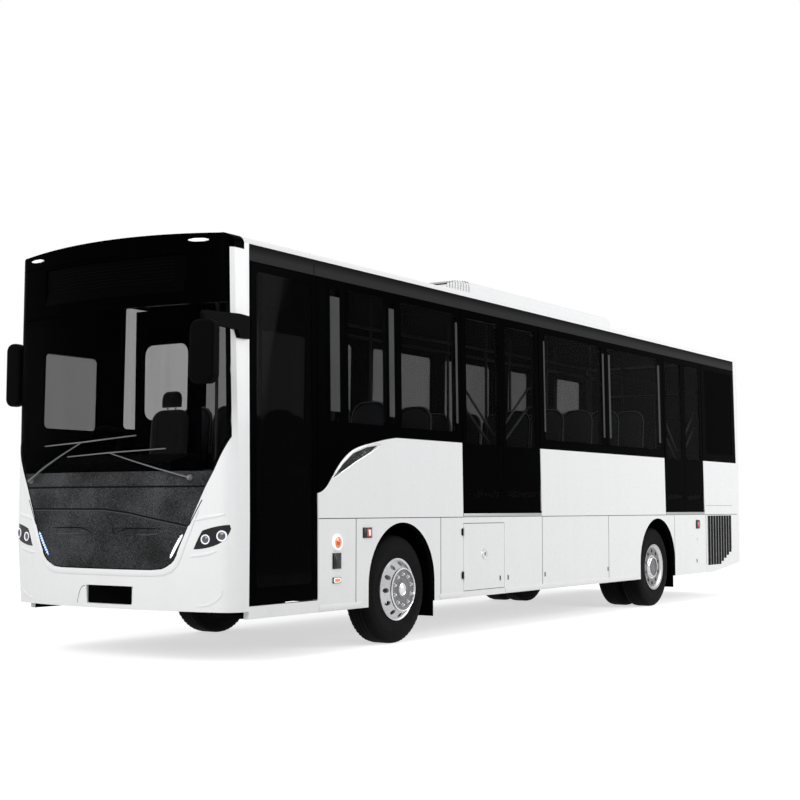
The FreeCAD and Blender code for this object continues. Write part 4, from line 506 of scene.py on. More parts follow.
def finish_table(scene):
    """Maker and values of every finish; a grained one has colour, grain size, roughness, specular, lift."""
    paint, wheels, lamps, cabin = scene.bus_paint, scene.bus_wheels, scene.bus_lamps, scene.bus_cabin
    return {
        "body_white": (finish_body_white,),
        "body_black": (finish_body_black,),
        "cant_grey": (finish_cant_grey,),
        "tyre_rubber": (finish_rubber,),
        "dark_glass": (finish_glass, scene.bus_glass.side_tint),
        "screen_glass": (finish_glass, scene.bus_glass.screen_tint),
        "leaf_glass": (finish_glass, 0.45, 0.008),
        "road_glass": (finish_glass, 0.56),
        "door_glass": (finish_glass, 0.83, 0.006),
        "blank_glass": (finish_glass, 0.985, 0.001),
        "grained_dark": (finish_grained, paint.face, paint.grain, 0.7, 0.05, 6.0, (0.455, 0.59)),
        "black_plastic": (finish_grained, (0.0012, 0.0012, 0.0013), 0.003, 0.5, 0.015),
        # Black of the display and the front plate, also laid over the engine grille's slots as painted shade.
        "display_black": (finish_grained, (0.0005, 0.0005, 0.0005), 0.02, 0.4, 0.005),
        "matrix_grey": (finish_grained, (0.0018, 0.0018, 0.0019), 0.006, 0.6, 0.01),
        # Black of real seams and latches, also used as painted shade along the face's creases, the nostrils'
        # top edges and the roof unit's slots.
        "seam_black": (finish_grained, (0.004, 0.004, 0.004), 0.006, 0.7, 0.05),
        # Grey of the line across the rear panels: painted shade of a crease.
        "crease_grey": (finish_grained, (0.30, 0.30, 0.30), 0.006, 0.5, 0.2, 1.1),
        # Paler line: painted highlight below the face's crease and along the nostrils' feet, and the colour
        # of the grille fins.
        "crease_dark": (finish_grained, (0.046, 0.047, 0.048), 0.012, 0.6, 0.1),
        "slat_grey": (finish_grained, (0.30, 0.30, 0.305), 0.004, 0.5, 0.25, 1.3),
        "post_grey": (finish_grained, (0.058, 0.059, 0.060), 0.02, 0.6, 0.02, 1.4),
        # Near-black of the cabin's inside faces, painted shade; also laid on the arch edges, on the ledges
        # behind the face panels and behind the rear wheels' hand holes.
        "inner_dark": (finish_grained, (0.002, 0.002, 0.0022), 0.01, 0.8, 0.02, 1.8),
        "pod_white": (finish_grained, (0.78, 0.785, 0.79), 0.006, 0.5, 0.35, 1.04),
        "chassis_black": (finish_grained, (0.006, 0.006, 0.006), 0.004, 0.6, 0.2, 2.2),
        "floor_grey": (finish_grained, (0.004, 0.004, 0.0044), 0.005, 0.8, 0.03, 1.9),
        "trim_grey": (finish_grained, (0.0016, 0.0016, 0.0018), 0.003, 0.7, 0.02),
        "seat_shell": (finish_grained, cabin.shell, 0.002, 0.45, 0.12, 1.3),
        "lamp_black": (finish_grained, (0.004, 0.004, 0.0045), 0.004, 0.25, 0.25),
        "speckled_dark": (finish_speckled, (0.008, 0.008, 0.008)),
        "seat_cloth": (finish_cloth, cabin.cloth),
        "seat_piping": (finish_cloth, cabin.piping),
        "driver_cloth": (finish_cloth, (0.004, 0.004, 0.0045)),
        "wheel_silver": (finish_metal, wheels.silver, 0.34),
        "bright_steel": (finish_metal, (0.62, 0.62, 0.63), 0.2, 60.0, 1.0),
        "rail_steel": (finish_metal, (0.15, 0.15, 0.155), 0.35, 40.0, 0.9),
        "cabin_rail": (finish_metal, (0.030, 0.030, 0.032), 0.5, 40.0, 0.3),
        "hub_grey": (finish_metal, (0.16, 0.16, 0.165), 0.4, 24.0, 0.5),
        "sill_metal": (finish_metal, (0.36, 0.36, 0.36), 0.45, 9.0, 0.6),
        "wiper_grey": (finish_metal, (0.16, 0.16, 0.165), 0.4, 50.0, 0.2),
        "mirror_glass": (finish_metal, (0.75, 0.75, 0.76), 0.06, 4.0, 1.0),
        "engine_grey": (finish_metal, (0.12, 0.12, 0.125), 0.5, 12.0, 0.5),
        "tank_grey": (finish_metal, (0.10, 0.10, 0.105), 0.45, 16.0, 0.4),
        "lens_glass": (finish_lens, (0.80, 0.78, 0.92), 0.35),
        "lens_dark": (finish_lens, (0.05, 0.05, 0.06)),
        "lens_amber": (finish_lens, lamps.amber, 0.15),
        "lens_red": (finish_lens, lamps.red, 0.12),
        "lens_white": (finish_lens, (0.85, 0.85, 0.85), 0.3),
        "daylight_strip": (finish_lens, lamps.daylight, 0.6),
        "daylight_core": (finish_lens, (0.95, 0.97, 1.0), 0.9),
    }


def finish_of(name):
    """The finish with this name, made the first time that it is asked for."""
    if name not in FINISH:
        maker, *values = finish_table(bpy.context.scene)[name]
        FINISH[name] = maker(name, *values)
    return FINISH[name]


# Mesh tools

def add_piece(name, bm, finishes, body="body", sharp=38.0):
    """Turn a bmesh into a named piece that rides a body."""
    bmesh.ops.remove_doubles(bm, verts=bm.verts, dist=1e-6)
    bmesh.ops.recalc_face_normals(bm, faces=bm.faces)
    mesh = bpy.data.meshes.new(name)
    bm.to_mesh(mesh)
    bm.free()
    for finish in finishes if isinstance(finishes, (list, tuple)) else [finishes]:
        mesh.materials.append(finish_of(finish))
    mesh.polygons.foreach_set("use_smooth", [True] * len(mesh.polygons))
    mesh.set_sharp_from_angle(angle=math.radians(sharp))
    piece = bpy.data.objects.new(name, mesh)
    bpy.context.scene.collection.objects.link(piece)
    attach(piece, body)
    return piece


def quads(bm, rows, around=False, along=False, slot=0):
    """Skin rows of points with faces; around closes each row, along closes the last row to the first."""
    rings = [[bm.verts.new(p) for p in row] for row in rows]
    count = len(rings[0])
    for i in range(len(rings) - (0 if along else 1)):
        one, two = rings[i], rings[(i + 1) % len(rings)]
        for j in range(count - (0 if around else 1)):
            k = (j + 1) % count
            face = bm.faces.new((one[j], one[k], two[k], two[j]))
            face.material_index = slot
    return rings


def cap(bm, ring, slot=0):
    """Close a ring of vertices with one face."""
    face = bm.faces.new(ring)
    face.material_index = slot


def turn(bm, profile, centre, axis, steps=48, slot=0, shape=None):
    """Revolve (along, radius) points about an axis; shape may alter a radius by step."""
    axis = Vector(axis).normalized()
    side = Vector((0, 0, 1)).cross(axis)
    side = side.normalized() if side.length > 0.1 else Vector((1, 0, 0))
    up = axis.cross(side)
    rows = []
    for i in range(steps):
        angle = 2 * math.pi * i / steps
        out = side * math.cos(angle) + up * math.sin(angle)
        row = []
        for j, (along, radius) in enumerate(profile):
            r = shape(i, j, radius) if shape else radius
            row.append(Vector(centre) + axis * along + out * r)
        rows.append(row)
    quads(bm, rows, along=True, slot=slot)


def rounded(width, height, radius, steps=4):
    """Rounded rectangle about the origin, as (u, v) points."""
    points = []
    corners = ((1, 1, 0), (-1, 1, 90), (-1, -1, 180), (1, -1, 270))
    for sx, sy, start in corners:
        cx, cy = sx * (width / 2 - radius), sy * (height / 2 - radius)
        for i in range(steps + 1):
            a = math.radians(start + 90 * i / steps)
            points.append((cx + radius * math.cos(a), cy + radius * math.sin(a)))
    return points


def prism(bm, outline, origin, u, v, depth, edge=0.0, slot=0):
    """Slab of a (u, v) outline, depth along u x v, with its front edge rounded."""
    origin, u, v = Vector(origin), Vector(u).normalized(), Vector(v).normalized()
    out = u.cross(v)
    cu, cv = (sum(p[k] for p in outline) / len(outline) for k in range(2))
    half = max(abs(p[0] - cu) for p in outline)
    tall = max(abs(p[1] - cv) for p in outline)
    rows = []
    for lift, inset in ((0.0, 0.0), (depth - edge, 0.0), (depth - edge * 0.3, edge * 0.35), (depth, edge)):
        row = []
        for a, b in outline:
            a = cu + (a - cu) * (1 - inset / half)
            b = cv + (b - cv) * (1 - inset / tall)
            row.append(origin + u * a + v * b + out * lift)
        rows.append(row)
    rings = quads(bm, rows, around=True, slot=slot)
    cap(bm, rings[-1], slot)
    cap(bm, list(reversed(rings[0])), slot)


def badge(bm, wide, tall, corner, spot, along, depth, edge, slot=0, steps=4):
    """Upright plate with round corners, its back at a spot and its width along a way."""
    prism(bm, rounded(wide, tall, corner, steps), spot, along, (0, 0, 1), depth, edge, slot)


def pour(one, bm, slot=0):
    """Add a whole bmesh to another in one finish, and free it."""
    for face in one.faces:
        face.material_index = slot
    mesh = bpy.data.meshes.new("part")
    one.to_mesh(mesh)
    one.free()
    bm.from_mesh(mesh)
    bpy.data.meshes.remove(mesh)


def block(bm, low, high, edge=0.004, slot=0):
    """Box with rounded edges between two corners."""
    one = bmesh.new()
    bmesh.ops.create_cube(one, size=1.0)
    low, high = Vector(low), Vector(high)
    for vert in one.verts:
        vert.co = Vector(((low[i] + high[i]) / 2 + vert.co[i] * (high[i] - low[i]) for i in range(3)))
    bmesh.ops.bevel(one, geom=list(one.edges), offset=edge, segments=2, profile=0.5, affect="EDGES",
                    clamp_overlap=True)
    pour(one, bm, slot)


def tube(bm, points, radius, steps=12, slot=0, closed=False, flat=1.0):
    """Round bar along points; radius may be a list, flat squashes it across its second axis."""
    points = [Vector(p) for p in points]
    count = len(points)
    radii = radius if isinstance(radius, (list, tuple)) else [radius] * count
    rows = []
    side = None
    for i, point in enumerate(points):
        before = points[(i - 1) % count] if closed or i else point
        after = points[(i + 1) % count] if closed or i < count - 1 else point
        way = (after - before).normalized()
        if side is None:
            side = way.orthogonal().normalized()
            if abs(way.z) < 0.9:
                side = way.cross(Vector((0, 0, 1))).normalized()
        side = (side - way * side.dot(way)).normalized()
        up = way.cross(side)
        row = []
        for j in range(steps):
            a = 2 * math.pi * j / steps
            row.append(point + side * (math.cos(a) * radii[i]) + up * (math.sin(a) * radii[i] * flat))
        rows.append(row)
    rings = quads(bm, rows, around=True, along=closed, slot=slot)
    if not closed:
        cap(bm, rings[0], slot)
        cap(bm, list(reversed(rings[-1])), slot)


SKINS = {}


def skin_of(node):
    """Search tree over the faces of a CAD node."""
    if node not in SKINS:
        mesh = NODES[node].data
        SKINS[node] = BVHTree.FromPolygons([v.co for v in mesh.vertices], [p.vertices for p in mesh.polygons])
    return SKINS[node]


def touch(node, start, way):
    """First point and outward normal on a CAD node along a ray, or None."""
    hit, normal = skin_of(node).ray_cast(Vector(start), Vector(way).normalized())[:2]
    if hit is None:
        return None
    if normal.dot(Vector(way)) > 0:
        normal = -normal
    return hit, normal


def from_ahead(node, x, z):
    """First place and normal that a look from ahead meets on a node."""
    return touch(node, (x, LOW.y - 1, z), (0, 1, 0))


def from_behind(node, x, z):
    """First place and normal that a look from behind meets on a node."""
    return touch(node, (x, HIGH.y + 1, z), (0, -1, 0))


def from_side(node, side, y, z):
    """First place and normal that a look from one side meets on a node."""
    return touch(node, (side * 2.0, y, z), (-side, 0, 0))


def lattice(corners, pitch):
    """Flat face of a line of corners, cut into a grid along the axes."""
    one = bmesh.new()
    one.faces.new([one.verts.new(corner) for corner in corners])
    for axis in range(3):
        low, high = (end(corner[axis] for corner in corners) for end in (min, max))
        for i in range(1, int((high - low) / pitch) + 1):
            spot, way = [0, 0, 0], [0, 0, 0]
            spot[axis], way[axis] = low + i * pitch, 1
            parts = one.verts[:] + one.edges[:] + one.faces[:]
            bmesh.ops.bisect_plane(one, geom=parts, plane_co=spot, plane_no=way)
    return one


def front_patch(bm, outline, nodes, stand, thick, slot=0, pitch=0.06):
    """Sheet of an (x, z) outline laid on the front, with a thickness."""
    one = lattice([(x, 0, z) for x, z in outline], pitch)
    for vert in one.verts:
        spot, normal = face_spot(nodes, vert.co.x, vert.co.z)
        vert.co = spot + normal * stand
    bmesh.ops.recalc_face_normals(one, faces=one.faces)
    if sum(f.normal.y * f.calc_area() for f in one.faces) > 0:
        bmesh.ops.reverse_faces(one, faces=one.faces)
    bmesh.ops.solidify(one, geom=one.faces[:], thickness=thick)
    pour(one, bm, slot)


def face_spot(nodes, x, z):
    """Point and outward normal on the foremost of these nodes."""
    best = None
    for node in nodes:
        found = from_ahead(node, x, z)
        if found and (best is None or found[0].y < best[0].y):
            best = found
    if best is None:
        raise ValueError(f"nothing of {nodes} at {x:.3f}, {z:.3f}")
    return best


def flank_spot(side, y, z, nodes, bridge=0.014):
    """Point and outward normal on a flank, carried level over a seam."""
    best = None
    for shift_y, shift_z in ((0, 0), (bridge, 0), (-bridge, 0), (0, bridge), (0, -bridge)):
        for node in nodes:
            found = from_side(node, side, y + shift_y, z + shift_z)
            if found and (best is None or side * found[0].x > side * best[0].x + 1e-4):
                best = found
    if best is None:
        raise ValueError(f"nothing of {nodes} at {y:.3f}, {z:.3f}")
    return Vector((best[0].x, y, z)), best[1]


def filled(points, pitch):
    """Points spread evenly along a line of flat points."""
    line = []
    points = [Vector(p) for p in points]
    for a, b in zip(points, points[1:]):
        count = max(1, round((b - a).length / pitch))
        line += [a.lerp(b, i / count) for i in range(count)]
    return line + [points[-1]]


def bead(bm, spots, wide, tall, sink=0.003, slot=0):
    """Low rounded moulding along (point, normal) spots; wide may be a list."""
    widths = wide if isinstance(wide, (list, tuple)) else [wide] * len(spots)
    form = ((-0.5, -sink), (-0.48, tall * 0.5), (-0.28, tall * 0.92), (0.0, tall), (0.28, tall * 0.92),
            (0.48, tall * 0.5), (0.5, -sink))
    rows = []
    for i, (point, normal) in enumerate(spots):
        before = spots[max(0, i - 1)][0]
        after = spots[min(len(spots) - 1, i + 1)][0]
        across = normal.cross(after - before).normalized()
        rows.append([point + across * (widths[i] * a) + normal * b for a, b in form])
    rings = quads(bm, rows, around=True, slot=slot)
    cap(bm, rings[0], slot)
    cap(bm, list(reversed(rings[-1])), slot)


def face_bead(bm, nodes, points, wide, tall, slot=0, pitch=0.04):
    """Bead along a line of (x, z) points on the front; wide may be a (start, middle, end) taper."""
    line = filled(points, pitch)
    bead(bm, [face_spot(nodes, p.x, p.y) for p in line], taper(wide, len(line)), tall, slot=slot)


def flank_bead(bm, side, nodes, points, wide, tall, slot=0, pitch=0.12):
    """Bead along a line of (distance, z) points on a flank."""
    line = filled([(at(d), z) for d, z in points], pitch)
    spots = [flank_spot(side, p.x, p.y, nodes) for p in line]
    bead(bm, spots, taper(wide, len(line)), tall, slot=slot)


def taper(wide, count):
    """Width at each of some points, from a (start, middle, end) taper or one width."""
    if not isinstance(wide, (list, tuple)):
        return wide
    start, middle, end = wide
    sizes = []
    for i in range(count):
        t = i / max(1, count - 1)
        near, share = (start, t) if t < 0.5 else (end, 1 - t)
        sizes.append(near + (middle - near) * min(1.0, share * 4))
    return sizes


def flank_patch(bm, side, outline, nodes, lift, slot=0, pitch=0.05):
    """Thin skin of a (distance, z) outline laid on a flank."""
    one = lattice([(0, at(d), z) for d, z in outline], pitch)
    for vert in one.verts:
        found = flank_spot(side, vert.co.y, vert.co.z, nodes, 0.0)
        vert.co = found[0] + Vector((side * lift, 0, 0))
    if sum(f.normal.x * f.calc_area() for f in one.faces) * side < 0:
        bmesh.ops.reverse_faces(one, faces=one.faces)
    bmesh.ops.solidify(one, geom=one.faces[:], thickness=0.002)
    pour(one, bm, slot)


def pad(bm, half_of, low, high, thick, place, columns=8, rows=10, roll=4.0):
    """Crowned cushion, half_of(v) wide each way at height v; place(u, v, lift) puts a point."""
    for face_way in (1, -1):
        grid = []
        for i in range(rows + 1):
            t = i / rows
            v = low + (high - low) * (0.5 - 0.5 * math.cos(math.pi * t))
            edge_v = 1 - abs(2 * (v - low) / (high - low) - 1) ** roll
            row = []
            for j in range(columns + 1):
                u = -math.cos(math.pi * j / columns)
                lift = thick * math.sqrt(max(0.0, (1 - abs(u) ** roll) * edge_v))
                row.append(place(u * half_of(v), v, lift if face_way > 0 else -lift * 0.35))
            grid.append(row)
        quads(bm, grid)


# Finishes of the CAD nodes

CAD_FINISH = {
    "chassis_black": ["chassis_rails", "cross_members", "front_axle", "kerb_knuckle", "road_knuckle",
                      "tie_rod", "rear_axle"],
    "floor_grey": ["floor_deck"],
    "body_white": ["roof_shell", "kerb_skirt", "road_skirt", "waist_panels", "front_mask", "rear_wall",
                   "rear_bumper", "engine_lid", "service_flap"],
    "pod_white": ["roof_pod"],
    "body_black": ["kerb_window_band", "road_window_band", "front_cap", "display_panel", "front_door",
                   "mid_door_front_leaf", "mid_door_rear_leaf", "rear_door_front_leaf",
    "rear_door_rear_leaf"], "dark_glass": ["side_glass"],
    "blank_glass": ["rear_glass"],
    "screen_glass": ["windscreen"],
    "grained_dark": ["grille_panel", "scuttle_panel"],
    "black_plastic": ["mirrors", "wheel_housings", "wipers"],
    "lamp_black": ["headlamps", "signal_lamps"],
    "tyre_rubber": ["front_kerb_tyre", "front_road_tyre", "rear_kerb_tyres", "rear_road_tyres"],
    "wheel_silver": ["front_kerb_rim", "front_road_rim", "rear_kerb_rims", "rear_road_rims"],
    "engine_grey": ["engine"],
    "tank_grey": ["fuel_tanks"],
    "trim_grey": ["dashboard", "driver_partition"],
    "driver_cloth": ["driver_seat"],
    "seat_shell": ["passenger_seats"],
    "cabin_rail": ["grab_rails"],
    "cant_grey": ["cant_rails"],
}
DOORS = ["front_door", "mid_door_front_leaf", "mid_door_rear_leaf", "rear_door_front_leaf",
         "rear_door_rear_leaf"]


def islands(mesh):
    """Faces of each joined island of a mesh, by welded vertices."""
    weld = {}
    home = [weld.setdefault(tuple(round(c, 5) for c in v.co), i) for i, v in enumerate(mesh.vertices)]
    parent = list(range(len(mesh.vertices)))

    def root(i):
        while parent[i] != i:
            parent[i] = parent[parent[i]]
            i = parent[i]
        return i

    for polygon in mesh.polygons:
        first = root(home[polygon.vertices[0]])
        for index in polygon.vertices[1:]:
            parent[root(home[index])] = first
    groups = {}
    for polygon in mesh.polygons:
        groups.setdefault(root(home[polygon.vertices[0]]), []).append(polygon)
    return list(groups.values())


def spread(mesh, polygons):
    """Lowest and highest corner of some polygons."""
    spots = [mesh.vertices[i].co for polygon in polygons for i in polygon.vertices]
    return (Vector([end(spot[k] for spot in spots) for k in range(3)]) for end in (min, max))


def glaze_leaf(node):
    """Give the pane of a door leaf its glass, and its grab rails their steel."""
    mesh = NODES[node].data
    mesh.materials.append(finish_of("door_glass" if node == "front_door" else "leaf_glass"))
    mesh.materials.append(finish_of("rail_steel"))
    sizes = []
    for group in islands(mesh):
        low, high = spread(mesh, group)
        sizes.append(((high.y - low.y) * (high.z - low.z), group))
    for polygon in min(sizes, key=lambda item: item[0])[1]:
        polygon.material_index = 1
    if node == "front_door":
        return
    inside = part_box(node)[1].x - LEAF_THICK
    for polygon in mesh.polygons:
        if polygon.center.x < inside and polygon.material_index == 0:
            polygon.material_index = 2


def line_inside(node, outward):
    """Give the faces of a shell that look into the cabin a near-black colour, painted shade of the cabin's
    inside.
    """
    mesh = NODES[node].data
    mesh.materials.append(finish_of("inner_dark"))
    dark = len(mesh.materials) - 1
    for polygon in mesh.polygons:
        if polygon.normal.dot(outward(polygon.center)) < -0.25:
            polygon.material_index = dark
        elif node == "front_mask" and behind_face(polygon.center):
            polygon.material_index = dark


def darken_arches(node):
    """Give the cut edges of the wheel arches the same near-black colour as the cabin's inside."""
    mesh = NODES[node].data
    dark = len(mesh.materials) - 1
    for polygon in mesh.polygons:
        for axle in (FRONT_AXLE, REAR_AXLE):
            reach = math.hypot(polygon.center.y - axle, polygon.center.z - WHEEL_RADIUS)
            if reach < 0.75 and abs(polygon.normal.x) < 0.5:
                polygon.material_index = dark


def darken_louvres():
    """Paint the walls of the roof unit's slots black, as painted shade in the slots."""
    mesh = NODES["roof_pod"].data
    mesh.materials.append(finish_of("seam_black"))
    for polygon in mesh.polygons:
        centre = polygon.center
        among_slots = at(1.252) < centre.y < at(1.80) and abs(centre.x) < 0.93
        if among_slots and abs(polygon.normal.y) > 0.7:
            polygon.material_index = 1


def tint_panes():
    """Black out the kerb window beside the engine, and darken the road side but for the partition's pane."""
    mesh = NODES["side_glass"].data
    mesh.materials.append(finish_of("blank_glass"))
    mesh.materials.append(finish_of("road_glass"))
    for group in islands(mesh):
        low, high = spread(mesh, group)
        slot = 0
        if low.x > 0 and low.y > at(7.5):
            slot = 1
        elif high.x < 0 and not low.y < at(-0.5) < high.y:
            slot = 2
        for polygon in group:
            polygon.material_index = slot


def behind_face(centre):
    """Whether a place lies on the ledges that the glass and face panels cover."""
    found = [from_ahead(node, centre.x, centre.z) for node in FACE_PANELS]
    return any(hit and centre.y > hit[0].y + 0.006 for hit in found)


def around_nose(centre):
    """Way out of the driver's place, level with the floor."""
    return Vector((centre.x, centre.y - (NOSE + 1.2), 0.0)).normalized()


def around(centre):
    """Way out from the middle of the cabin's roof arch."""
    return Vector((centre.x, 0.0, max(0.0, centre.z - 2.6))).normalized()


LINED_OUTWARDS = ("roof_shell", "cant_rails", "waist_panels", "kerb_skirt", "road_skirt", "kerb_window_band",
                  "road_window_band")


class BUS_OT_finish_panels(Operator):
    """Give every CAD node its paint, glass, plastic or metal."""

    bl_idname = "bus.finish_panels"
    bl_label = "Finish panels"

    def execute(self, context):
        for name, nodes in CAD_FINISH.items():
            for node in nodes:
                for slot in NODES[node].material_slots:
                    slot.material = finish_of(name)
                mesh = NODES[node].data
                mesh.polygons.foreach_set("use_smooth", [True] * len(mesh.polygons))
                mesh.set_sharp_from_angle(angle=math.radians(28))
        for node in DOORS:
            glaze_leaf(node)
        for node in LINED_OUTWARDS:
            line_inside(node, around)
        for node, way in (("rear_wall", 1), ("engine_lid", 1), ("front_cap", -1)):
            line_inside(node, lambda centre, way=way: Vector((0, way, 0)))
        line_inside("front_mask", around_nose)
        for node in ("kerb_skirt", "road_skirt"):
            darken_arches(node)
        tint_panes()
        darken_louvres()
        return {"FINISHED"}


# Tyres and wheels

WHEEL_SETS = [
    ("front_kerb_tyre", "front_kerb_wheel", 1, FRONT_AXLE, 1),
    ("front_road_tyre", "front_road_wheel", -1, FRONT_AXLE, 1),
    ("rear_kerb_tyres", "rear_kerb_wheels", 1, REAR_AXLE, 2),
    ("rear_road_tyres", "rear_road_wheels", -1, REAR_AXLE, 2),
]


# Outer half of a tyre's section, as (along, radius) points in from the sidewall, for a tyre of 0.5 m radius

SIDEWALL = [(0.012, 0.2885), (0.006, 0.300), (0.0035, 0.318), (0.0055, 0.326), (0.0035, 0.336),
            (0.0005, 0.360),
            (0.0, 0.400), (0.0025, 0.424), (0.0055, 0.428), (0.0045, 0.436), (0.009, 0.452), (0.018, 0.470),
            (0.022, 0.4805), (0.034, 0.4935)]
GROOVES = (0.26, 0.42, 0.58, 0.74)
LUG_DEPTH = 0.007


def tyre_profile(width, radius, wheels):
    """(along, radius) points from the outer bead round the grooved tread to the inner bead."""
    profile = [(a, r * radius / 0.5) for a, r in SIDEWALL]
    half, deep = wheels.groove_width / 2, wheels.groove_depth
    for groove in [width * share for share in GROOVES]:
        profile += [(groove - half, radius - 0.0005), (groove - half * 0.6, radius - deep)]
        profile += [(groove + half * 0.6, radius - deep), (groove + half, radius - 0.0005)]
    return profile + [(width - a, r) for a, r in reversed(profile[:len(SIDEWALL)])]


class BUS_OT_make_tyres(Operator):
    """Turn the six tyres, with grooves, shoulder lugs and rings on the sidewalls."""

    bl_idname = "bus.make_tyres"
    bl_label = "Make tyres"

    def execute(self, context):
        wheels = context.scene.bus_wheels
        profile = tyre_profile(TYRE_WIDTH, WHEEL_RADIUS, wheels)
        shoulder = {12, 13, len(profile) - 14, len(profile) - 13}

        def lug(i, j, radius):
            return radius - LUG_DEPTH if i % 3 == 0 and j in shoulder else radius

        for node, body, side, y, count in WHEEL_SETS:
            low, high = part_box(node)
            outer = max(abs(low.x), abs(high.x))
            bm = bmesh.new()
            for i in range(count):
                x = outer - i * (abs(high.x - low.x) - TYRE_WIDTH)
                turn(bm, profile, (side * x, y, WHEEL_RADIUS), (-side, 0, 0), wheels.lugs * 3, shape=lug)
            tyre = add_piece(node.replace("tyre", "rubber"), bm, "tyre_rubber", body, 50.0)
            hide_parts(node)
        return {"FINISHED"}


def hex_nut(bm, centre, axis, across, tall):
    """Wheel nut with a washer, a chamfered head and the stud's end."""
    washer = [(0, 0), (0, across * 0.78), (tall * 0.18, across * 0.74), (tall * 0.2, 0)]
    turn(bm, washer, centre, axis, 20)
    head = [(tall * 0.18, across * 0.58), (tall * 0.85, across * 0.58), (tall, across * 0.48), (tall, 0)]
    turn(bm, head, centre, axis, 6)
    stud = [(tall, across * 0.3), (tall * 1.5, across * 0.3), (tall * 1.55, across * 0.24), (tall * 1.55, 0)]
    turn(bm, stud, centre, axis, 12)


# Wheel fittings; the lists are turned forms, as (along, radius) points out from the wheel's face

NUT_CIRCLE = 0.142
GUARD = [(-0.012, 0.206), (0.012, 0.203), (0.018, 0.196), (0.016, 0.188), (0.002, 0.184)]
GUARD_FLOOR = [(0.002, 0.184), (0.0012, 0.172), (0.004, 0.168), (0.004, 0.160), (0.001, 0.157),
               (0.001, 0.124),
               (0.005, 0.120), (0.005, 0.112), (0.001, 0.108), (0.001, 0.088), (0.007, 0.084), (0.007, 0.060)]
FRONT_CAP = [(-0.006, 0.062), (0.000, 0.060), (0.003, 0.050), (0.001, 0.044), (0.006, 0.036), (0.0085, 0.0)]
DISC_EDGE, DISC_BORE = 0.247, 0.150
HAND_HOLE, HAND_HOLE_CIRCLE = 0.023, 0.203
DISC_RIM = [(0.0, DISC_EDGE), (0.004, 0.252), (0.016, 0.262), (0.020, 0.272), (0.016, 0.279), (0.006, 0.281)]
REAR_HUB = [(0.0, DISC_BORE), (0.003, 0.142), (0.004, 0.134), (0.022, 0.128), (0.026, 0.122), (0.024, 0.112)]
REAR_CAP = [(0.024, 0.112), (0.012, 0.106), (0.012, 0.074), (0.020, 0.068), (0.020, 0.048), (0.014, 0.042),
            (0.018, 0.020), (0.019, 0.0)]


def front_hub(bm, node, side, y, nuts):
    """Nut ring with a raised guard, turned steps, nuts and the hub's cap."""
    axis = (side, 0, 0)
    face = from_side(node, side, y + NUT_CIRCLE, WHEEL_RADIUS)[0].x
    turn(bm, GUARD, (face, y, WHEEL_RADIUS), axis, 60)
    turn(bm, GUARD_FLOOR, (face, y, WHEEL_RADIUS), axis, 60, 1)
    hub = from_side(node, side, y + 0.005, WHEEL_RADIUS + 0.004)[0].x
    turn(bm, FRONT_CAP, (hub, y, WHEEL_RADIUS), axis, 40)
    for i in range(nuts):
        a = 2 * math.pi * (i + 0.5) / nuts
        spot = (face, y + NUT_CIRCLE * math.cos(a), WHEEL_RADIUS + NUT_CIRCLE * math.sin(a))
        hex_nut(bm, spot, axis, 0.024, 0.016)


def rear_hub(bm, node, side, y, nuts):
    """Wheel face near the lip: a ring with round hand holes, a near-black disc behind them as painted shade,
    a bright hub and its stepped cap.
    """
    axis = (side, 0, 0)
    low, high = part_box(node)
    x = side * (max(abs(low.x), abs(high.x)) - 0.030)
    centre = (x, y, WHEEL_RADIUS)
    angles = [2 * math.pi * (i + 0.5) / nuts for i in range(nuts)]
    out = HAND_HOLE_CIRCLE
    holes = [(y + out * math.cos(a), WHEEL_RADIUS + out * math.sin(a)) for a in angles]
    rings = [(centre[1:], DISC_EDGE, 60), (centre[1:], DISC_BORE, 48)]
    rings += [(hole, HAND_HOLE, 16) for hole in holes]
    lines = []
    for (cy, cz), radius, count in rings:
        loop = []
        for i in range(count):
            a = 2 * math.pi * i / count
            loop.append(bm.verts.new((x, cy + radius * math.cos(a), cz + radius * math.sin(a))))
        lines += [bm.edges.new((loop[i], loop[(i + 1) % count])) for i in range(count)]
    disc = bmesh.ops.triangle_fill(bm, edges=lines, use_beauty=True, normal=axis)["geom"]
    for face in disc:
        if isinstance(face, bmesh.types.BMFace):
            face.material_index = 1
    for hole in holes:
        turn(bm, [(0.0, HAND_HOLE), (-0.014, 0.021)], (x, *hole), axis, 16, 1)
    # Near-black disc behind the hand holes: painted shade of the wheel's inside.
    turn(bm, [(-0.016, 0.250), (-0.016, 0.10)], centre, axis, 40, 2)
    turn(bm, DISC_RIM, centre, axis, 60, 3)
    turn(bm, REAR_HUB, centre, axis, 48, 0)
    turn(bm, REAR_CAP, centre, axis, 48, 1)


class BUS_OT_make_wheel_fittings(Operator):
    """Add the nut ring, guard and cap of the front wheels and the pierced faces of the rear wheels."""

    bl_idname = "bus.make_wheel_fittings"
    bl_label = "Make wheel fittings"

    def execute(self, context):
        for tyre_node, body, side, y, count in WHEEL_SETS:
            node = tyre_node.replace("tyres", "rims").replace("tyre", "rim")
            bm = bmesh.new()
            make_hub = front_hub if count == 1 else rear_hub
            make_hub(bm, node, side, y, context.scene.bus_wheels.nuts)
            finishes = ["bright_steel", "hub_grey", "inner_dark", "wheel_silver"]
            add_piece(body + "_hub", bm, finishes, body, 30.0)
        return {"FINISHED"}


# Face of the bus


# Projectors as (x, z, size) and the ends of the light strips as (x, z), by side

PROJECTORS = ((1.022, 1.006, 0.95), (1.158, 1.034, 1.05))
LIGHT_STRIPS = {1: ((0.815, 1.042), (0.700, 0.856)), -1: ((-0.822, 1.047), (-0.690, 0.853))}
STRIP_RIBS = 9


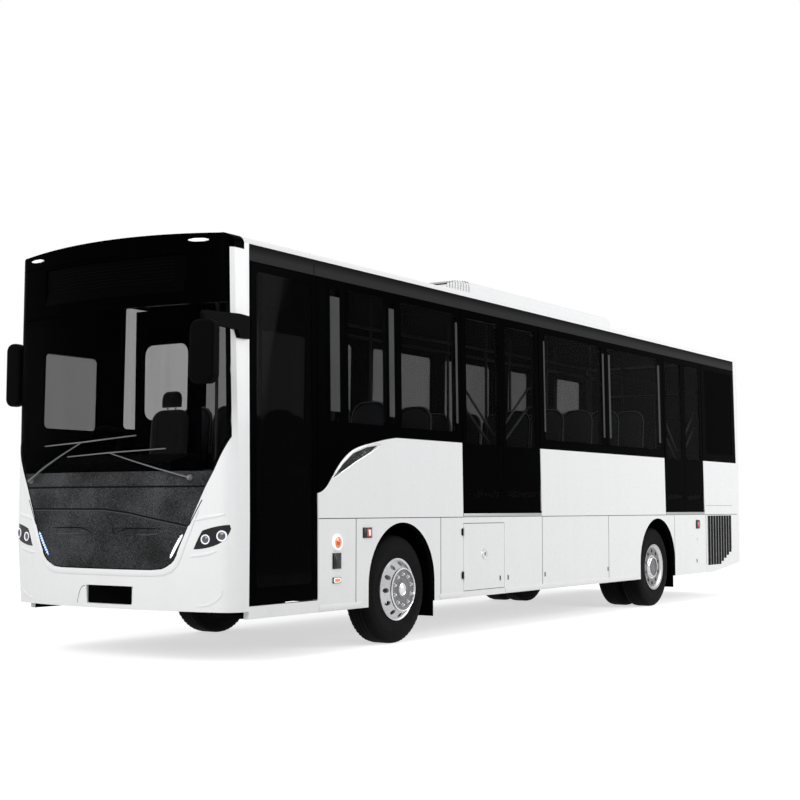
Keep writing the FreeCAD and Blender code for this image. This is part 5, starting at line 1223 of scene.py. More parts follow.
class BUS_OT_make_headlamps(Operator):
    """Fill each headlamp with its projectors and rings, and light the strips beside the grille."""

    bl_idname = "bus.make_headlamps"
    bl_label = "Make headlamps"

    def execute(self, context):
        radius = context.scene.bus_lamps.lens_radius
        bm = bmesh.new()
        for side in (1, -1):
            for x, z, size in PROJECTORS:
                spot, normal = face_spot(("headlamps",), side * x, z)
                axis = (normal * 0.5 + Vector((side * 0.25, -1, 0)) * 0.5).normalized()
                r = radius * size
                ring = [(-0.006, r * 1.36), (0.004, r * 1.32), (0.006, r * 1.2), (0.002, r * 1.02)]
                turn(bm, ring, spot, axis, 36, 1)
                lens = [(0.002, r * 1.02), (0.002, r * 0.86), (0.006, r * 0.6), (0.0085, r * 0.3),
                        (0.009, 0.0)]
                turn(bm, lens, spot, axis, 36, 0)
        add_piece("headlamp_projectors", bm, ["lens_dark", "lens_glass"], "body")
        strip = bmesh.new()
        grille = ("grille_panel",)
        for side, ends in LIGHT_STRIPS.items():
            face_bead(strip, grille, ends, (0.008, 0.022, 0.010), 0.006, 0 if side < 0 else 1, 0.012)
            (x0, z0), (x1, z1) = ends
            for i in range(STRIP_RIBS):
                t = (i + 0.8) / (STRIP_RIBS + 1)
                x, z = x0 + (x1 - x0) * t, z0 + (z1 - z0) * t
                rib = [(x - side * 0.012, z + 0.004), (x + side * 0.010, z - 0.004)]
                face_bead(strip, grille, rib, 0.004, 0.0072, 1, 0.02)
        add_piece("daylight_strips", strip, ["daylight_strip", "daylight_core"], "body")
        return {"FINISHED"}


NOSTRILS = [([(-0.634, 1.084), (-0.45, 1.089), (-0.263, 1.087), (-0.175, 1.068), (-0.116, 1.029)],
             [(-0.262, 1.041), (-0.45, 1.036), (-0.622, 1.036)]),
            ([(0.130, 1.029), (0.181, 1.060), (0.249, 1.084), (0.45, 1.088), (0.619, 1.084)],
             [(0.606, 1.046), (0.45, 1.036), (0.367, 1.038)])]
FACE_CREASE = [(-0.905, 1.243), (-0.474, 1.244), (0.018, 1.243), (0.28, 1.215), (0.524, 1.171),
               (0.723, 1.136), (0.848, 1.112)]
FACE_RIM = [(0.962, 1.235), (0.893, 1.085), (0.845, 0.985), (0.796, 0.885), (0.752, 0.808), (0.700, 0.762),
            (0.630, 0.737), (0.520, 0.728), (0.260, 0.727), (0.0, 0.727)]
FACE_EDGE = [(0.990, 1.32), (0.856, 1.08), (0.764, 0.885), (0.742, 0.845), (0.700, 0.806), (0.650, 0.779),
             (0.590, 0.763), (0.520, 0.757), (0.0, 0.757)]
TOW_COVER = [(-0.215, 0.610), (-0.246, 0.604), (-0.272, 0.580), (-0.295, 0.540), (-0.322, 0.464)]

# Raised lines of the white mask on one side: (x, z) points, width taper and height

MASK_LINES = [([(0.898, 1.150), (1.000, 1.176), (1.106, 1.192), (1.180, 1.206)],
               (0.004, 0.030, 0.010), 0.0065),
              ([(0.881, 0.868), (0.960, 0.878), (1.041, 0.892), (1.120, 0.914)],
               (0.004, 0.026, 0.006), 0.0055),
              ([(0.93, 0.472), (1.02, 0.486), (1.087, 0.516), (1.135, 0.56), (1.157, 0.61)],
               (0.004, 0.022, 0.004), 0.0045)]


def both_sides(points):
    """Line of (x, z) points that ends in the middle, carried on to its mirror image."""
    return points + [(-x, z) for x, z in reversed(points[:-1])]


class BUS_OT_make_face_mouldings(Operator):
    """Lay the white rim round the dark face, its black edge, the painted shade and highlight lines of its
    creases and nostrils, and the bumper's lines.
    """

    bl_idname = "bus.make_face_mouldings"
    bl_label = "Make face mouldings"

    def execute(self, context):
        line = filled(both_sides(FACE_RIM), 0.035)
        count = len(line)
        wide = [0.052 * min(1.0, 0.08 + 5.0 * min(i, count - 1 - i) / count) for i in range(count)]
        rim = bmesh.new()
        bead(rim, [face_spot(("front_mask",), p.x, p.y) for p in line], wide, 0.008)
        add_piece("face_rim", rim, "body_white", "body")
        edge = bmesh.new()
        face_bead(edge, ("grille_panel", "front_mask"), both_sides(FACE_EDGE), 0.009, 0.0012)
        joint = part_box("scuttle_panel")[0].z + 0.005
        face_bead(edge, ("scuttle_panel",), [(-1.010, joint), (1.010, joint)], 0.013, 0.0012)
        add_piece("face_gasket", edge, "seam_black", "body")
        crease = bmesh.new()
        grille = ("grille_panel",)
        # The crease is a dark line of painted shade with a paler line of painted highlight just below it.
        face_bead(crease, grille, FACE_CREASE, 0.015, 0.0016, 0)
        face_bead(crease, grille, [(x, z - 0.011) for x, z in FACE_CREASE], 0.009, 0.0022, 1)
        # Each nostril: the dark line on its top edge is painted shade, the paler line along its foot a
        # painted highlight; the patch between them is the face's own grain.
        for head, foot in NOSTRILS:
            front_patch(crease, head + foot, grille, 0.0012, 0.001, 2, 0.05)
            face_bead(crease, grille, head, (0.004, 0.013, 0.004), 0.0016, 0, 0.03)
            face_bead(crease, grille, foot, (0.004, 0.012, 0.004), 0.0030, 1, 0.03)
        finishes = ["seam_black", "crease_dark", "grained_dark"]
        add_piece("face_crease_shading", crease, finishes, "body")
        lines = bmesh.new()
        for side in (1, -1):
            for points, wide, tall in MASK_LINES:
                face_bead(lines, ("front_mask",), [(side * x, z) for x, z in points], wide, tall, pitch=0.03)
        add_piece("bumper_lines", lines, "body_white", "body")
        tow = bmesh.new()
        face_bead(tow, ("front_mask",), TOW_COVER, 0.005, 0.0006, pitch=0.03)
        add_piece("tow_cover_seam", tow, "seam_black", "body")
        return {"FINISHED"}


# Each wiper's pivot, elbow and two blade tips, as (x, z)

WIPERS = [((-0.967, 1.486), (-0.227, 1.801), (-0.746, 1.781), (0.358, 1.844)),
          ((0.873, 1.497), (0.084, 1.707), (-0.429, 1.683), (0.652, 1.732))]


def over_screen(start, end, share, lift):
    """Place at a share of the way between two (x, z) points, lifted off the front."""
    x, z = (a + (b - a) * share for a, b in zip(start, end))
    spot, normal = face_spot(("windscreen", "scuttle_panel", "front_mask"), x, z)
    return spot + normal * lift


class BUS_OT_make_wipers(Operator):
    """Build the two wipers: pivot caps, tapered arms, sprung blade carriers and rubber lips."""

    bl_idname = "bus.make_wipers"
    bl_label = "Make wipers"

    def execute(self, context):
        bm = bmesh.new()
        along_arm = [i / 12 for i in range(13)]
        along_blade = [i / 14 for i in range(15)]
        for pivot, elbow, *tips in WIPERS:
            spot, normal = face_spot(("windscreen", "scuttle_panel", "front_mask"), *pivot)
            turn(bm, [(-0.004, 0.026), (0.016, 0.024), (0.024, 0.018), (0.026, 0.0)], spot, normal, 24)
            turn(bm, [(0.022, 0.014), (0.036, 0.013), (0.040, 0.008), (0.040, 0.0)], spot, normal, 16)
            arm = [over_screen(pivot, elbow, t, 0.028 + 0.012 * math.sin(math.pi * t)) for t in along_arm]
            tube(bm, arm, [0.013 - 0.006 * t for t in along_arm], 10, flat=0.55)
            for tip in tips:
                carrier = [over_screen(elbow, tip, t, 0.026 - 0.012 * t) for t in along_blade]
                tube(bm, carrier, [0.0065 - 0.003 * t for t in along_blade], 8, flat=0.8)
                tube(bm, [over_screen(elbow, tip, t, 0.006) for t in along_blade], 0.0055, 6)
        wipers = add_piece("wiper_set", bm, "wiper_grey", "body", 40.0)
        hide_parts("wipers")
        return {"FINISHED"}


PLATE_X, PLATE_Z = 0.062, 0.542
DISPLAY = [(-0.80, 3.005), (0.80, 3.005), (0.80, 3.305), (-0.80, 3.305)]
DISPLAY_ROWS = 9


class BUS_OT_make_face_fittings(Operator):
    """Add the blank number plate, the display matrix and the roof markers of the front."""

    bl_idname = "bus.make_face_fittings"
    bl_label = "Make face fittings"

    def execute(self, context):
        bm = bmesh.new()
        back = from_ahead("front_mask", PLATE_X, 0.54)[0].y
        middle = PLATE_X - 0.018
        badge(bm, 0.490, 0.146, 0.014, (middle, back, PLATE_Z), (1, 0, 0), 0.008, 0.004, 0)
        badge(bm, 0.478, 0.132, 0.010, (middle, back - 0.006, PLATE_Z), (1, 0, 0), 0.005, 0.002, 1)
        for shift in (-0.21, 0.21):
            spot = (PLATE_X + shift, back - 0.010, PLATE_Z)
            turn(bm, [(0, 0.008), (0.002, 0.007), (0.003, 0.0)], spot, (0, -1, 0), 12)
        add_piece("front_plate", bm, ["black_plastic", "display_black"], "body")
        matrix = bmesh.new()
        front_patch(matrix, DISPLAY, ("display_panel",), 0.001, 0.002, 0, 0.1)
        for i in range(DISPLAY_ROWS):
            z = 3.045 + i * 0.0275
            face_bead(matrix, ("display_panel",), [(-0.70, z), (0.70, z)], 0.006, 0.0045, 1, 0.1)
        add_piece("display_matrix", matrix, ["display_black", "matrix_grey"], "body")
        markers = bmesh.new()
        for x0, x1 in ((0.84, 1.02), (-1.02, -0.84)):
            line = [(x0, 3.418), (x1, 3.410)]
            face_bead(markers, ("front_cap",), line, (0.012, 0.028, 0.012), 0.012, pitch=0.02)
        add_piece("roof_markers", markers, "lens_white", "body")
        return {"FINISHED"}


# Flanks

FLANK = {1: ("kerb_skirt", "waist_panels", "service_flap"), -1: ("road_skirt", "waist_panels")}
SEAMS = {1: [-0.757, 0.676, 2.800, 4.510, 6.558, 7.680],
         -1: [-1.320, -0.757, 0.676, 1.946, 3.400, 4.510, 6.558, 7.680]}
WAIST = 1.164
WAIST_SEAMS = {1: ((-1.312, 1.098), (2.800, 6.262), (7.650, 8.90)), -1: ((-2.20, 8.90),)}
ROOF_SEAM = -1.358


def roof_line(distance):
    """(point, normal) spots of a line over the roof, from cant rail to cant rail."""
    spots = []
    for i in range(61):
        angle = math.pi * i / 60
        way = Vector((-math.cos(angle), 0, -math.sin(angle)))
        start = Vector((0, at(distance), 3.27)) - way * 3
        best = None
        for shift in (0, 0.02, -0.02):
            for node in ("roof_shell", "cant_rails"):
                found = touch(node, start + Vector((0, shift, 0)), way)
                if found and (best is None or (found[0] - start).length < (best[0] - start).length - 1e-4):
                    best = found
        if best:
            spots.append((Vector((best[0].x, at(distance), best[0].z)), best[1]))
    return spots


class BUS_OT_make_seams(Operator):
    """Lay the dark joints between the side panels and over the roof."""

    bl_idname = "bus.make_seams"
    bl_label = "Make seams"

    def execute(self, context):
        bm = bmesh.new()
        for side in (1, -1):
            for d in SEAMS[side]:
                foot = 0.475 if d > 7 else 0.385
                flank_bead(bm, side, FLANK[side], [(d, foot), (d, WAIST)], 0.009, 0.0005)
            for a, b in WAIST_SEAMS[side]:
                flank_bead(bm, side, FLANK[side], [(a, WAIST), (b, WAIST)], 0.007, 0.0004)
        bead(bm, roof_line(ROOF_SEAM), 0.016, 0.001)
        add_piece("panel_seams", bm, "seam_black", "body")
        return {"FINISHED"}


def leaf_face(leaf, z):
    """How far out a door leaf reaches beside its pane, at a height."""
    low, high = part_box(leaf)
    found = [from_side(leaf, 1, y, z) for y in (low.y + 0.02, high.y - 0.02, (low.y + high.y) / 2)]
    return max(hit[0].x for hit in found if hit)


# Lines of the flanks, as (distance, z) points or (start, end) distances behind the front axle

SILL_HEIGHT = 0.400
SILLS = {1: ((-1.30, -0.66), (0.66, 1.09), (1.96, 5.36)), -1: ((-2.235, -0.66), (0.66, 5.36))}
DOOR_SILLS = ((1.112, 2.784), (6.276, 7.634))
SWOOSH_TOP = [(-1.104, 1.513), (-0.950, 1.644), (-0.793, 1.743), (-0.578, 1.805), (-0.356, 1.836)]
SWOOSH_FOOT = [(-0.522, 1.752), (-0.739, 1.668), (-0.950, 1.576)]
LEAF_PANEL_TOP = 1.905


class BUS_OT_make_flank_trim(Operator):
    """Add the sill mouldings, door sills and leaf panels, the swoosh and the grey line across the rear
    panels, painted shade of a crease.
    """

    bl_idname = "bus.make_flank_trim"
    bl_label = "Make flank trim"

    def execute(self, context):
        sill = bmesh.new()
        for side in (1, -1):
            for a, b in SILLS[side]:
                line = [(a, SILL_HEIGHT), (b, SILL_HEIGHT)]
                flank_bead(sill, side, FLANK[side], line, 0.050, 0.006, pitch=0.25)
        add_piece("sill_mouldings", sill, "body_white", "body")
        steel = bmesh.new()
        for a, b in DOOR_SILLS:
            block(steel, (1.240, at(a), WAIST + 0.002), (1.2530, at(b), WAIST + 0.0355), 0.0015)
        add_piece("door_sill_strips", steel, "sill_metal", "body")
        for leaf in DOORS[1:]:
            self.leaf_panel(leaf)
        self.swoosh()
        lines = bmesh.new()
        waist = ("waist_panels",)
        for side in (1, -1):
            # Grey line of painted shade along the crease across the rear panels.
            flank_bead(lines, side, waist, [(7.70, 1.290), (8.73, 1.290)], 0.006, 0.001, pitch=0.2)
            for i in range(4):
                spot = flank_spot(side, at(7.86 + 0.22 * i), 1.335, waist)[0]
                turn(lines, [(-0.001, 0.014), (0.004, 0.011), (0.006, 0.0)], spot, (side, 0, 0), 16, 1)
        add_piece("rear_panel_lines", lines, ["crease_grey", "body_white"], "body")
        return {"FINISHED"}

    def leaf_panel(self, leaf):
        """Thin black panel over the lower half of a door leaf."""
        low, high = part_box(leaf)
        face = bmesh.new()
        section = [(low.y + 0.004, -0.001), (low.y + 0.006, 0.0012),
                   (high.y - 0.006, 0.0012), (high.y - 0.004, -0.001)]
        rows = []
        for z in (low.z + 0.012, 1.55, LEAF_PANEL_TOP):
            x = leaf_face(leaf, z)
            rows.append([Vector((x + lift, y, z)) for y, lift in section])
        rings = quads(face, rows, around=True)
        cap(face, rings[0])
        cap(face, list(reversed(rings[-1])))
        add_piece(leaf + "_panel", face, "body_black", leaf)

    def swoosh(self):
        """Dark film of the swoosh's crescent with a bright line along its top and foot."""
        film = bmesh.new()
        waist = ("waist_panels",)
        outline = [(d + 0.012, z - 0.004) for d, z in SWOOSH_TOP[1:-1]] + [(-0.40, 1.822)]
        outline += [(d, z + 0.004) for d, z in SWOOSH_FOOT] + [(-1.085, 1.518)]
        top = [(d - 0.012, z + 0.012) for d, z in SWOOSH_TOP]
        foot = [(-1.10, 1.508)] + SWOOSH_FOOT[::-1] + [(-0.356, 1.830)]
        for side in (1, -1):
            flank_patch(film, side, outline, waist, 0.001)
            flank_bead(film, side, waist, top, (0.003, 0.013, 0.003), 0.004, 1, 0.05)
            flank_bead(film, side, waist, foot, (0.003, 0.008, 0.003), 0.002, 1, 0.05)
        add_piece("swoosh_trim", film, ["speckled_dark", "bright_steel"], "body")


GRILLE_START, GRILLE_END, GRILLE_FOOT, GRILLE_HEAD = 7.745, 8.665, 0.466, 1.149
SLATS = 10


class BUS_OT_make_grilles(Operator):
    """Lay black strips over the engine grille's slots as painted shade of the openings, and face the slats.
    """

    bl_idname = "bus.make_grilles"
    bl_label = "Make grilles"

    def execute(self, context):
        bm = bmesh.new()
        pitch = (GRILLE_END - GRILLE_START) / (SLATS - 1)
        for side in (1, -1):
            out = Vector((side, 0, 0))
            for i in range(SLATS):
                d = GRILLE_START + pitch * i
                foot = max(GRILLE_FOOT, GRILLE_FOOT + 0.040 * (i - 4))
                slat = []
                for p in filled([(at(d), foot), (at(d), GRILLE_HEAD)], 0.08):
                    found = from_side(FLANK[side][0], side, p.x, p.y)
                    if found and side * found[0].x > SIDE - 0.02:
                        slat.append((Vector((found[0].x, p.x, p.y)), found[1]))
                if len(slat) < 3:
                    continue
                bead(bm, slat, 0.014, 0.004, slot=1)
                if i == SLATS - 1:
                    continue
                # Black strip across the slot: painted shade of the opening between the slats.
                slot_shade_strip = [(spot + Vector((0, pitch / 2, 0)), out) for spot, _ in slat]
                bead(bm, slot_shade_strip, pitch * 0.96, 0.0015, slot=0)
                for shift in (0.30, 0.70):
                    fin = [(spot + Vector((side * 0.0012, pitch * shift, 0)), out) for spot, _ in slat]
                    bead(bm, fin, 0.006, 0.0015, slot=2)
        finishes = ["display_black", "slat_grey", "crease_dark"]
        add_piece("engine_grille_slats_and_shade", bm, finishes, "body")
        return {"FINISHED"}


class BUS_OT_make_side_lamps(Operator):
    """Add lenses and bezels to the lamps and markers along both flanks."""

    bl_idname = "bus.make_side_lamps"
    bl_label = "Make side lamps"

    def execute(self, context):
        bm = bmesh.new()
        for side in (1, -1):
            out, ahead = Vector((side, 0, 0)), Vector((0, side, 0))
            self.round_lamp(bm, side)
            self.box_lamp(bm, side, (-1.052, 0.797), (0.112, 0.132), 0.18, (3, 3))
            self.box_lamp(bm, side, (-1.052, 0.630), (0.108, 0.044), 0.48, (0, 1))
            lens = self.box_lamp(bm, side, (-0.585, 1.034), (0.126, 0.086), 0.18, (3, 2), (0.56, 0.80), 0.018)
            badge(bm, 0.026, 0.086 * 0.60, 0.010, lens + out * 0.005, ahead, 0.004, 0.001, 0)
            spot = flank_spot(side, at(7.369), 1.034, FLANK[side] + ("signal_lamps",), 0.0)[0]
            badge(bm, 0.124, 0.110, 0.036, spot - out * 0.002, ahead, 0.006, 0.003, 3, 6)
            turn(bm, [(0.003, 0.034), (0.009, 0.026), (0.011, 0.0)], spot, out, 32, 2)
        finishes = ["lens_white", "lens_amber", "lens_red", "lamp_black"]
        add_piece("side_lamp_lenses", bm, finishes, "body")
        return {"FINISHED"}

    def box_lamp(self, bm, side, place, size, share, slots, inner=(0.72, 0.60), shift=0.0):
        """Rounded housing at (distance, z) with a smaller lens on it; gives the lens's middle."""
        out, ahead = Vector((side, 0, 0)), Vector((0, side, 0))
        wide, tall = size
        corner = min(size) * share
        spot = flank_spot(side, at(place[0]), place[1], FLANK[side] + ("signal_lamps",), 0.0)[0]
        badge(bm, wide, tall, corner, spot - out * 0.002, ahead, 0.005, 0.002, slots[0], 6)
        middle = spot + ahead * shift
        lens = (wide * inner[0], tall * inner[1], corner * 0.6)
        badge(bm, *lens, middle + out * 0.002, ahead, 0.005, 0.002, slots[1], 6)
        return middle

    def round_lamp(self, bm, side):
        """White bezel, amber ring and red core of the round lamp ahead of the front wheel."""
        spot = flank_spot(side, at(-1.047), 0.955, FLANK[side] + ("signal_lamps",), 0.0)[0]
        skin = flank_spot(side, at(-1.047), 1.06, FLANK[side], 0.0)[0]
        skin = Vector((skin.x, spot.y, spot.z))
        proud = abs(spot.x - skin.x)
        bezel = [(-0.002, 0.078), (proud * 0.6, 0.075), (proud + 0.004, 0.066), (proud + 0.005, 0.052),
                 (proud + 0.001, 0.048)]
        lens = [(proud + 0.001, 0.048), (proud + 0.006, 0.040), (proud + 0.006, 0.028)]
        core = [(proud + 0.006, 0.028), (proud + 0.011, 0.020), (proud + 0.013, 0.0)]
        for slot, form in enumerate((bezel, lens, core)):
            turn(bm, form, skin, (side, 0, 0), 36, slot)


LATCHES = ((2.020, 0.53), (2.857, 0.53), (4.480, 0.53), (7.330, 0.54))
FILLER = (1.530, 0.788)


class BUS_OT_make_flank_fittings(Operator):
    """Add the filler ring, flap hinge covers, latches and keyhole of the flanks."""

    bl_idname = "bus.make_flank_fittings"
    bl_label = "Make flank fittings"

    def execute(self, context):
        flap = bmesh.new()
        y, z = at(FILLER[0]), FILLER[1]
        x = flank_spot(1, at(1.526) - 0.09, z, ("service_flap",), 0.0)[0].x
        ring = [(-0.001, 0.060), (0.004, 0.058), (0.005, 0.046), (-0.008, 0.043)]
        turn(flap, ring, (x, y, z), (1, 0, 0), 36, 0)
        plug = [(-0.010, 0.043), (-0.004, 0.040), (-0.003, 0.022), (0.003, 0.018), (0.004, 0.0)]
        turn(flap, plug, (x, y, z), (1, 0, 0), 32, 1)
        badge(flap, 0.012, 0.034, 0.004, (x + 0.004, y, z), (0, 1, 0), 0.004, 0.001, 2)
        badge(flap, 0.020, 0.052, 0.008, (x - 0.001, at(1.850), 0.530), (0, 1, 0), 0.004, 0.001, 2)
        finishes = ["bright_steel", "slat_grey", "seam_black"]
        add_piece("filler_and_latch", flap, finishes, "service_flap")
        bm = bmesh.new()
        for side in (1, -1):
            for d, z in LATCHES:
                spot = flank_spot(side, at(d), z, FLANK[side][:2])[0] - Vector((side * 0.001, 0, 0))
                badge(bm, 0.020, 0.050, 0.008, spot, (0, side, 0), 0.004, 0.001)
            spot = flank_spot(side, at(7.350), 0.830, FLANK[side][:2])[0]
            keyhole = [(-0.001, 0.018), (0.004, 0.016), (0.005, 0.008), (0.002, 0.0)]
            turn(bm, keyhole, spot, (side, 0, 0), 20, 1)
        for z in (1.016, 0.588):
            spot = flank_spot(1, at(1.082), z, ("kerb_skirt",))[0] - Vector((0.001, 0, 0))
            badge(bm, 0.030, 0.075, 0.010, spot, (0, 1, 0), 0.009, 0.004)
        add_piece("latches", bm, ["seam_black", "bright_steel"], "body")
        return {"FINISHED"}


# Cabin

SEAT_WIDE = 0.860
BACK_TOP = 1.062
BACK_FOOT = 0.330


def seat_places():
    """Foot of each pair of passenger seats: low x, y of the back's foot line, z of its plinth."""
    mesh = NODES["passenger_seats"].data
    places = []
    for group in islands(mesh):
        low, high = spread(mesh, group)
        places.append((low.x, high.y - 0.110, high.z - BACK_TOP))
    return sorted(places)


def crown_half(half, top, corner):
    """Half width at a height of a form with round upper corners."""
    def half_at(v):
        if v <= top - corner:
            return half
        over = min(1.0, (v - top + corner) / corner)
        return half - corner + corner * math.sqrt(max(0.0, 1 - over * over))
    return half_at


class BUS_OT_make_passenger_seats(Operator):
    """Build the pairs of seats: moulded backs, sewn pads with piping, cushions and pedestals."""

    bl_idname = "bus.make_passenger_seats"
    bl_label = "Make passenger seats"

    def execute(self, context):
        shells, pads, piping = bmesh.new(), bmesh.new(), bmesh.new()
        half = (SEAT_WIDE - 0.016) / 4
        for x0, y0, z0 in seat_places():
            for cx in (x0 + half, x0 + SEAT_WIDE - half):
                self.seat(shells, pads, piping, half, cx, y0, z0)
            x1, mid = x0 + SEAT_WIDE, x0 + SEAT_WIDE / 2
            block(shells, (x0 + 0.004, y0 - 0.412, z0 + 0.332), (x1 - 0.004, y0 + 0.036, z0 + 0.386), 0.012)
            raised = z0 > FLOOR_TOP + 0.01
            foot = z0 if raised else FLOOR_TOP
            stand = [(mid, y0 - 0.14, z) for z in (foot, foot + 0.02, z0 + 0.335)]
            tube(shells, stand, [0.060, 0.030, 0.030], 12)
            if raised:
                block(shells, (x0 + 0.022, y0 - 0.398, FLOOR_TOP), (x1 - 0.022, y0 + 0.088, z0 - 0.001),
                      0.010)
        shell = add_piece("seat_shells", shells, "seat_shell", "body")
        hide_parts("passenger_seats")
        add_piece("seat_pads", pads, "seat_cloth", "body", 60.0)
        add_piece("seat_piping_lines", piping, "seat_piping", "body")
        return {"FINISHED"}

    def seat(self, shells, pads, piping, half, cx, y0, z0):
        """One seat: its moulded back, its back pad with piping, and its cushion."""
        def lean(z):
            return y0 - 0.010 + 0.070 * (z - BACK_FOOT) / (BACK_TOP - BACK_FOOT)

        def shell_place(u, v, lift):
            back = 0.026 if lift < 0 else -0.010
            return Vector((cx + u, lean(v) + 0.020 + back, z0 + v)) - Vector((0, lift, 0))

        def back_place(u, v, lift):
            return Vector((cx + u, lean(v) + 0.012 - lift, z0 + v))

        def cushion_place(u, v, lift):
            return Vector((cx + u, y0 - 0.19 + v, z0 + 0.385 + lift))

        outer = crown_half(half - 0.004, BACK_TOP - 0.004, 0.146)
        pad(shells, outer, BACK_FOOT, BACK_TOP - 0.004, 0.014, shell_place, roll=10.0)
        inner = crown_half(half - 0.018, BACK_TOP - 0.022, 0.132)
        pad(pads, inner, BACK_FOOT + 0.11, BACK_TOP - 0.022, 0.030, back_place)
        edge = [(cx - half + 0.008, BACK_FOOT + 0.25)]
        for i in range(13):
            a = math.pi * (1 - i / 12)
            side = (i > 6) - (i < 6)
            edge.append((cx + (half - 0.150) * side + 0.142 * math.cos(a),
                         BACK_TOP - 0.150 + 0.142 * math.sin(a)))
        edge.append((cx + half - 0.008, BACK_FOOT + 0.25))
        tube(piping, [(x, lean(v) + 0.004, z0 + v) for x, v in edge], 0.0045, 6)
        pad(pads, lambda v: half - 0.014, -0.215, 0.205, 0.036, cushion_place, 8, 8)


class BUS_OT_make_driver_seat(Operator):
    """Build the driver's seat: sprung base, bolstered cushion and back, headrest on two posts."""

    bl_idname = "bus.make_driver_seat"
    bl_label = "Make driver seat"

    def execute(self, context):
        x, y, z = -0.620, NOSE + 1.230, FLOOR_TOP
        base = bmesh.new()
        tube(base, [(x, y, z + up) for up in (0, 0.03, 0.24, 0.30)], [0.15, 0.11, 0.10, 0.16], 24)
        block(base, (x - 0.20, y - 0.20, z + 0.28), (x + 0.20, y + 0.20, z + 0.345), 0.015)
        for i in range(5):
            ring = 0.035 + i * 0.045
            bellow = [(x, y, z + ring - 0.012), (x, y, z + ring), (x, y, z + ring + 0.012)]
            tube(base, bellow, [0.105, 0.118, 0.105], 24)
        for shift in (-0.05, 0.05):
            tube(base, [(x + shift, y + 0.252, z + 0.92), (x + shift, y + 0.260, z + 1.03)], 0.007, 8, slot=1)
        add_piece("driver_seat_base", base, ["black_plastic", "rail_steel"], "body")
        soft = bmesh.new()

        def lean(v):
            return y + 0.215 + 0.045 * (v - 0.40) / 0.62

        def seat_place(u, v, lift):
            wing = 0.018 * max(0.0, abs(u) - 0.13) / 0.10
            return Vector((x + u, y + v, z + 0.395 + lift + wing))
        pad(soft, lambda v: 0.236, -0.248, 0.225, 0.045, seat_place, 12, 10)

        def back_place(u, v, lift):
            wing = 0.030 * max(0.0, abs(u) - 0.12) / 0.11
            return Vector((x + u, lean(v) - lift * 0.75 - wing * (0.5 if lift > 0 else 0.1), z + v))
        pad(soft, crown_half(0.228, 0.975, 0.12), 0.40, 0.975, 0.058, back_place, 12, 14)

        def head_place(u, v, lift):
            return Vector((x + u, y + 0.262 + 0.012 * (v - 1.01) / 0.21 - lift * 0.6, z + v))
        pad(soft, crown_half(0.122, 1.150, 0.07), 0.998, 1.150, 0.052, head_place, 10, 8)
        seat = add_piece("driver_seat_pads", soft, "driver_cloth", "body", 60.0)
        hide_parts("driver_seat")
        seams = bmesh.new()
        heights = [0.46 + 0.40 * i / 11 for i in range(12)]
        for shift in (-0.125, 0.125):
            tube(seams, [(x + shift, lean(v) - 0.048, z + v) for v in heights], 0.004, 6)
        add_piece("driver_seat_seams", seams, "driver_cloth", "body")
        return {"FINISHED"}


# Strips over the window posts, as (start, end) distances behind the front axle, by side

PALE_POSTS = {1: ((-1.126, -0.985), (-0.201, -0.112), (1.003, 1.038), (2.902, 2.934), (4.431, 4.477),
                  (4.605, 4.654), (6.117, 6.172)),
              -1: ((-0.165, -0.065), (1.800, 1.885), (2.800, 2.885), (4.530, 4.615), (6.160, 6.245))}
DARK_POSTS = {1: ((-1.262, -1.130), (-0.971, -0.856), (-0.109, 0.009), (4.506, 4.601)), -1: ()}
PARTITION_WINDOW = (-1.070, -0.470, 2.075, 2.833)


class BUS_OT_make_cabin_lining(Operator):
    """Add the covers of the window posts and the partition's window frame."""

    bl_idname = "bus.make_cabin_lining"
    bl_label = "Make cabin lining"

    def execute(self, context):
        posts = bmesh.new()
        for side in (1, -1):
            for slot, spans, foot, head in ((0, PALE_POSTS, 2.098, 3.110), (1, DARK_POSTS, 1.972, 3.188)):
                for d0, d1 in spans[side]:
                    line = [(Vector((side * band_face(z), at((d0 + d1) / 2), z)), Vector((side, 0, 0)))
                            for z in (foot, foot * 0.5 + head * 0.5, head)]
                    bead(posts, line, d1 - d0, 0.0025 - 0.001 * slot, slot=slot)
        add_piece("window_post_covers", posts, ["post_grey", "body_black"], "body")
        window = bmesh.new()
        x0, x1, z0, z1 = PARTITION_WINDOW
        outline = rounded(x1 - x0, z1 - z0, 0.12, 8)
        ring = [((x0 + x1) / 2 + a, at(-1.060) + 0.015, (z0 + z1) / 2 + b) for a, b in outline]
        tube(window, ring, 0.020, 10, closed=True)
        add_piece("partition_window_frame", window, "black_plastic", "body")
        return {"FINISHED"}


BAND_LEAN = 0.035


def band_face(z):
    """Distance from the middle plane to the outside of the window bands at a height."""
    return SIDE - 0.018 - BAND_LEAN * max(0.0, z - WAIST) / (3.40 - WAIST)


# Mirrors and tail

class BUS_OT_make_mirror_fittings(Operator):
    """Set the mirror glasses into the backs of the heads."""

    bl_idname = "bus.make_mirror_fittings"
    bl_label = "Make mirror fittings"

    def execute(self, context):
        bm = bmesh.new()
        kerb_head = (HIGH.x - 0.120, LOW.y + 0.098, 2.452, 0.240, 0.496)
        road_head = (-HIGH.x + 0.084, NOSE + 0.294, 2.439, 0.168, 0.566)
        for x, y, z, wide, tall in (kerb_head, road_head):
            badge(bm, wide * 0.90, tall * 0.92, 0.05, (x, y - 0.002, z), (-1, 0, 0), 0.005, 0.002, 1, 6)
            for share, shift in ((0.52, 0.17), (0.26, -0.28)):
                spot = (x, y + 0.002, z + tall * shift)
                badge(bm, wide * 0.82, tall * share, 0.030, spot, (-1, 0, 0), 0.003, 0.001, 0, 6)
        add_piece("mirror_glasses", bm, ["mirror_glass", "black_plastic"], "body")
        return {"FINISHED"}


# Lenses of a tail lamp from its foot up: finish slot, and foot and height as shares of the lamp

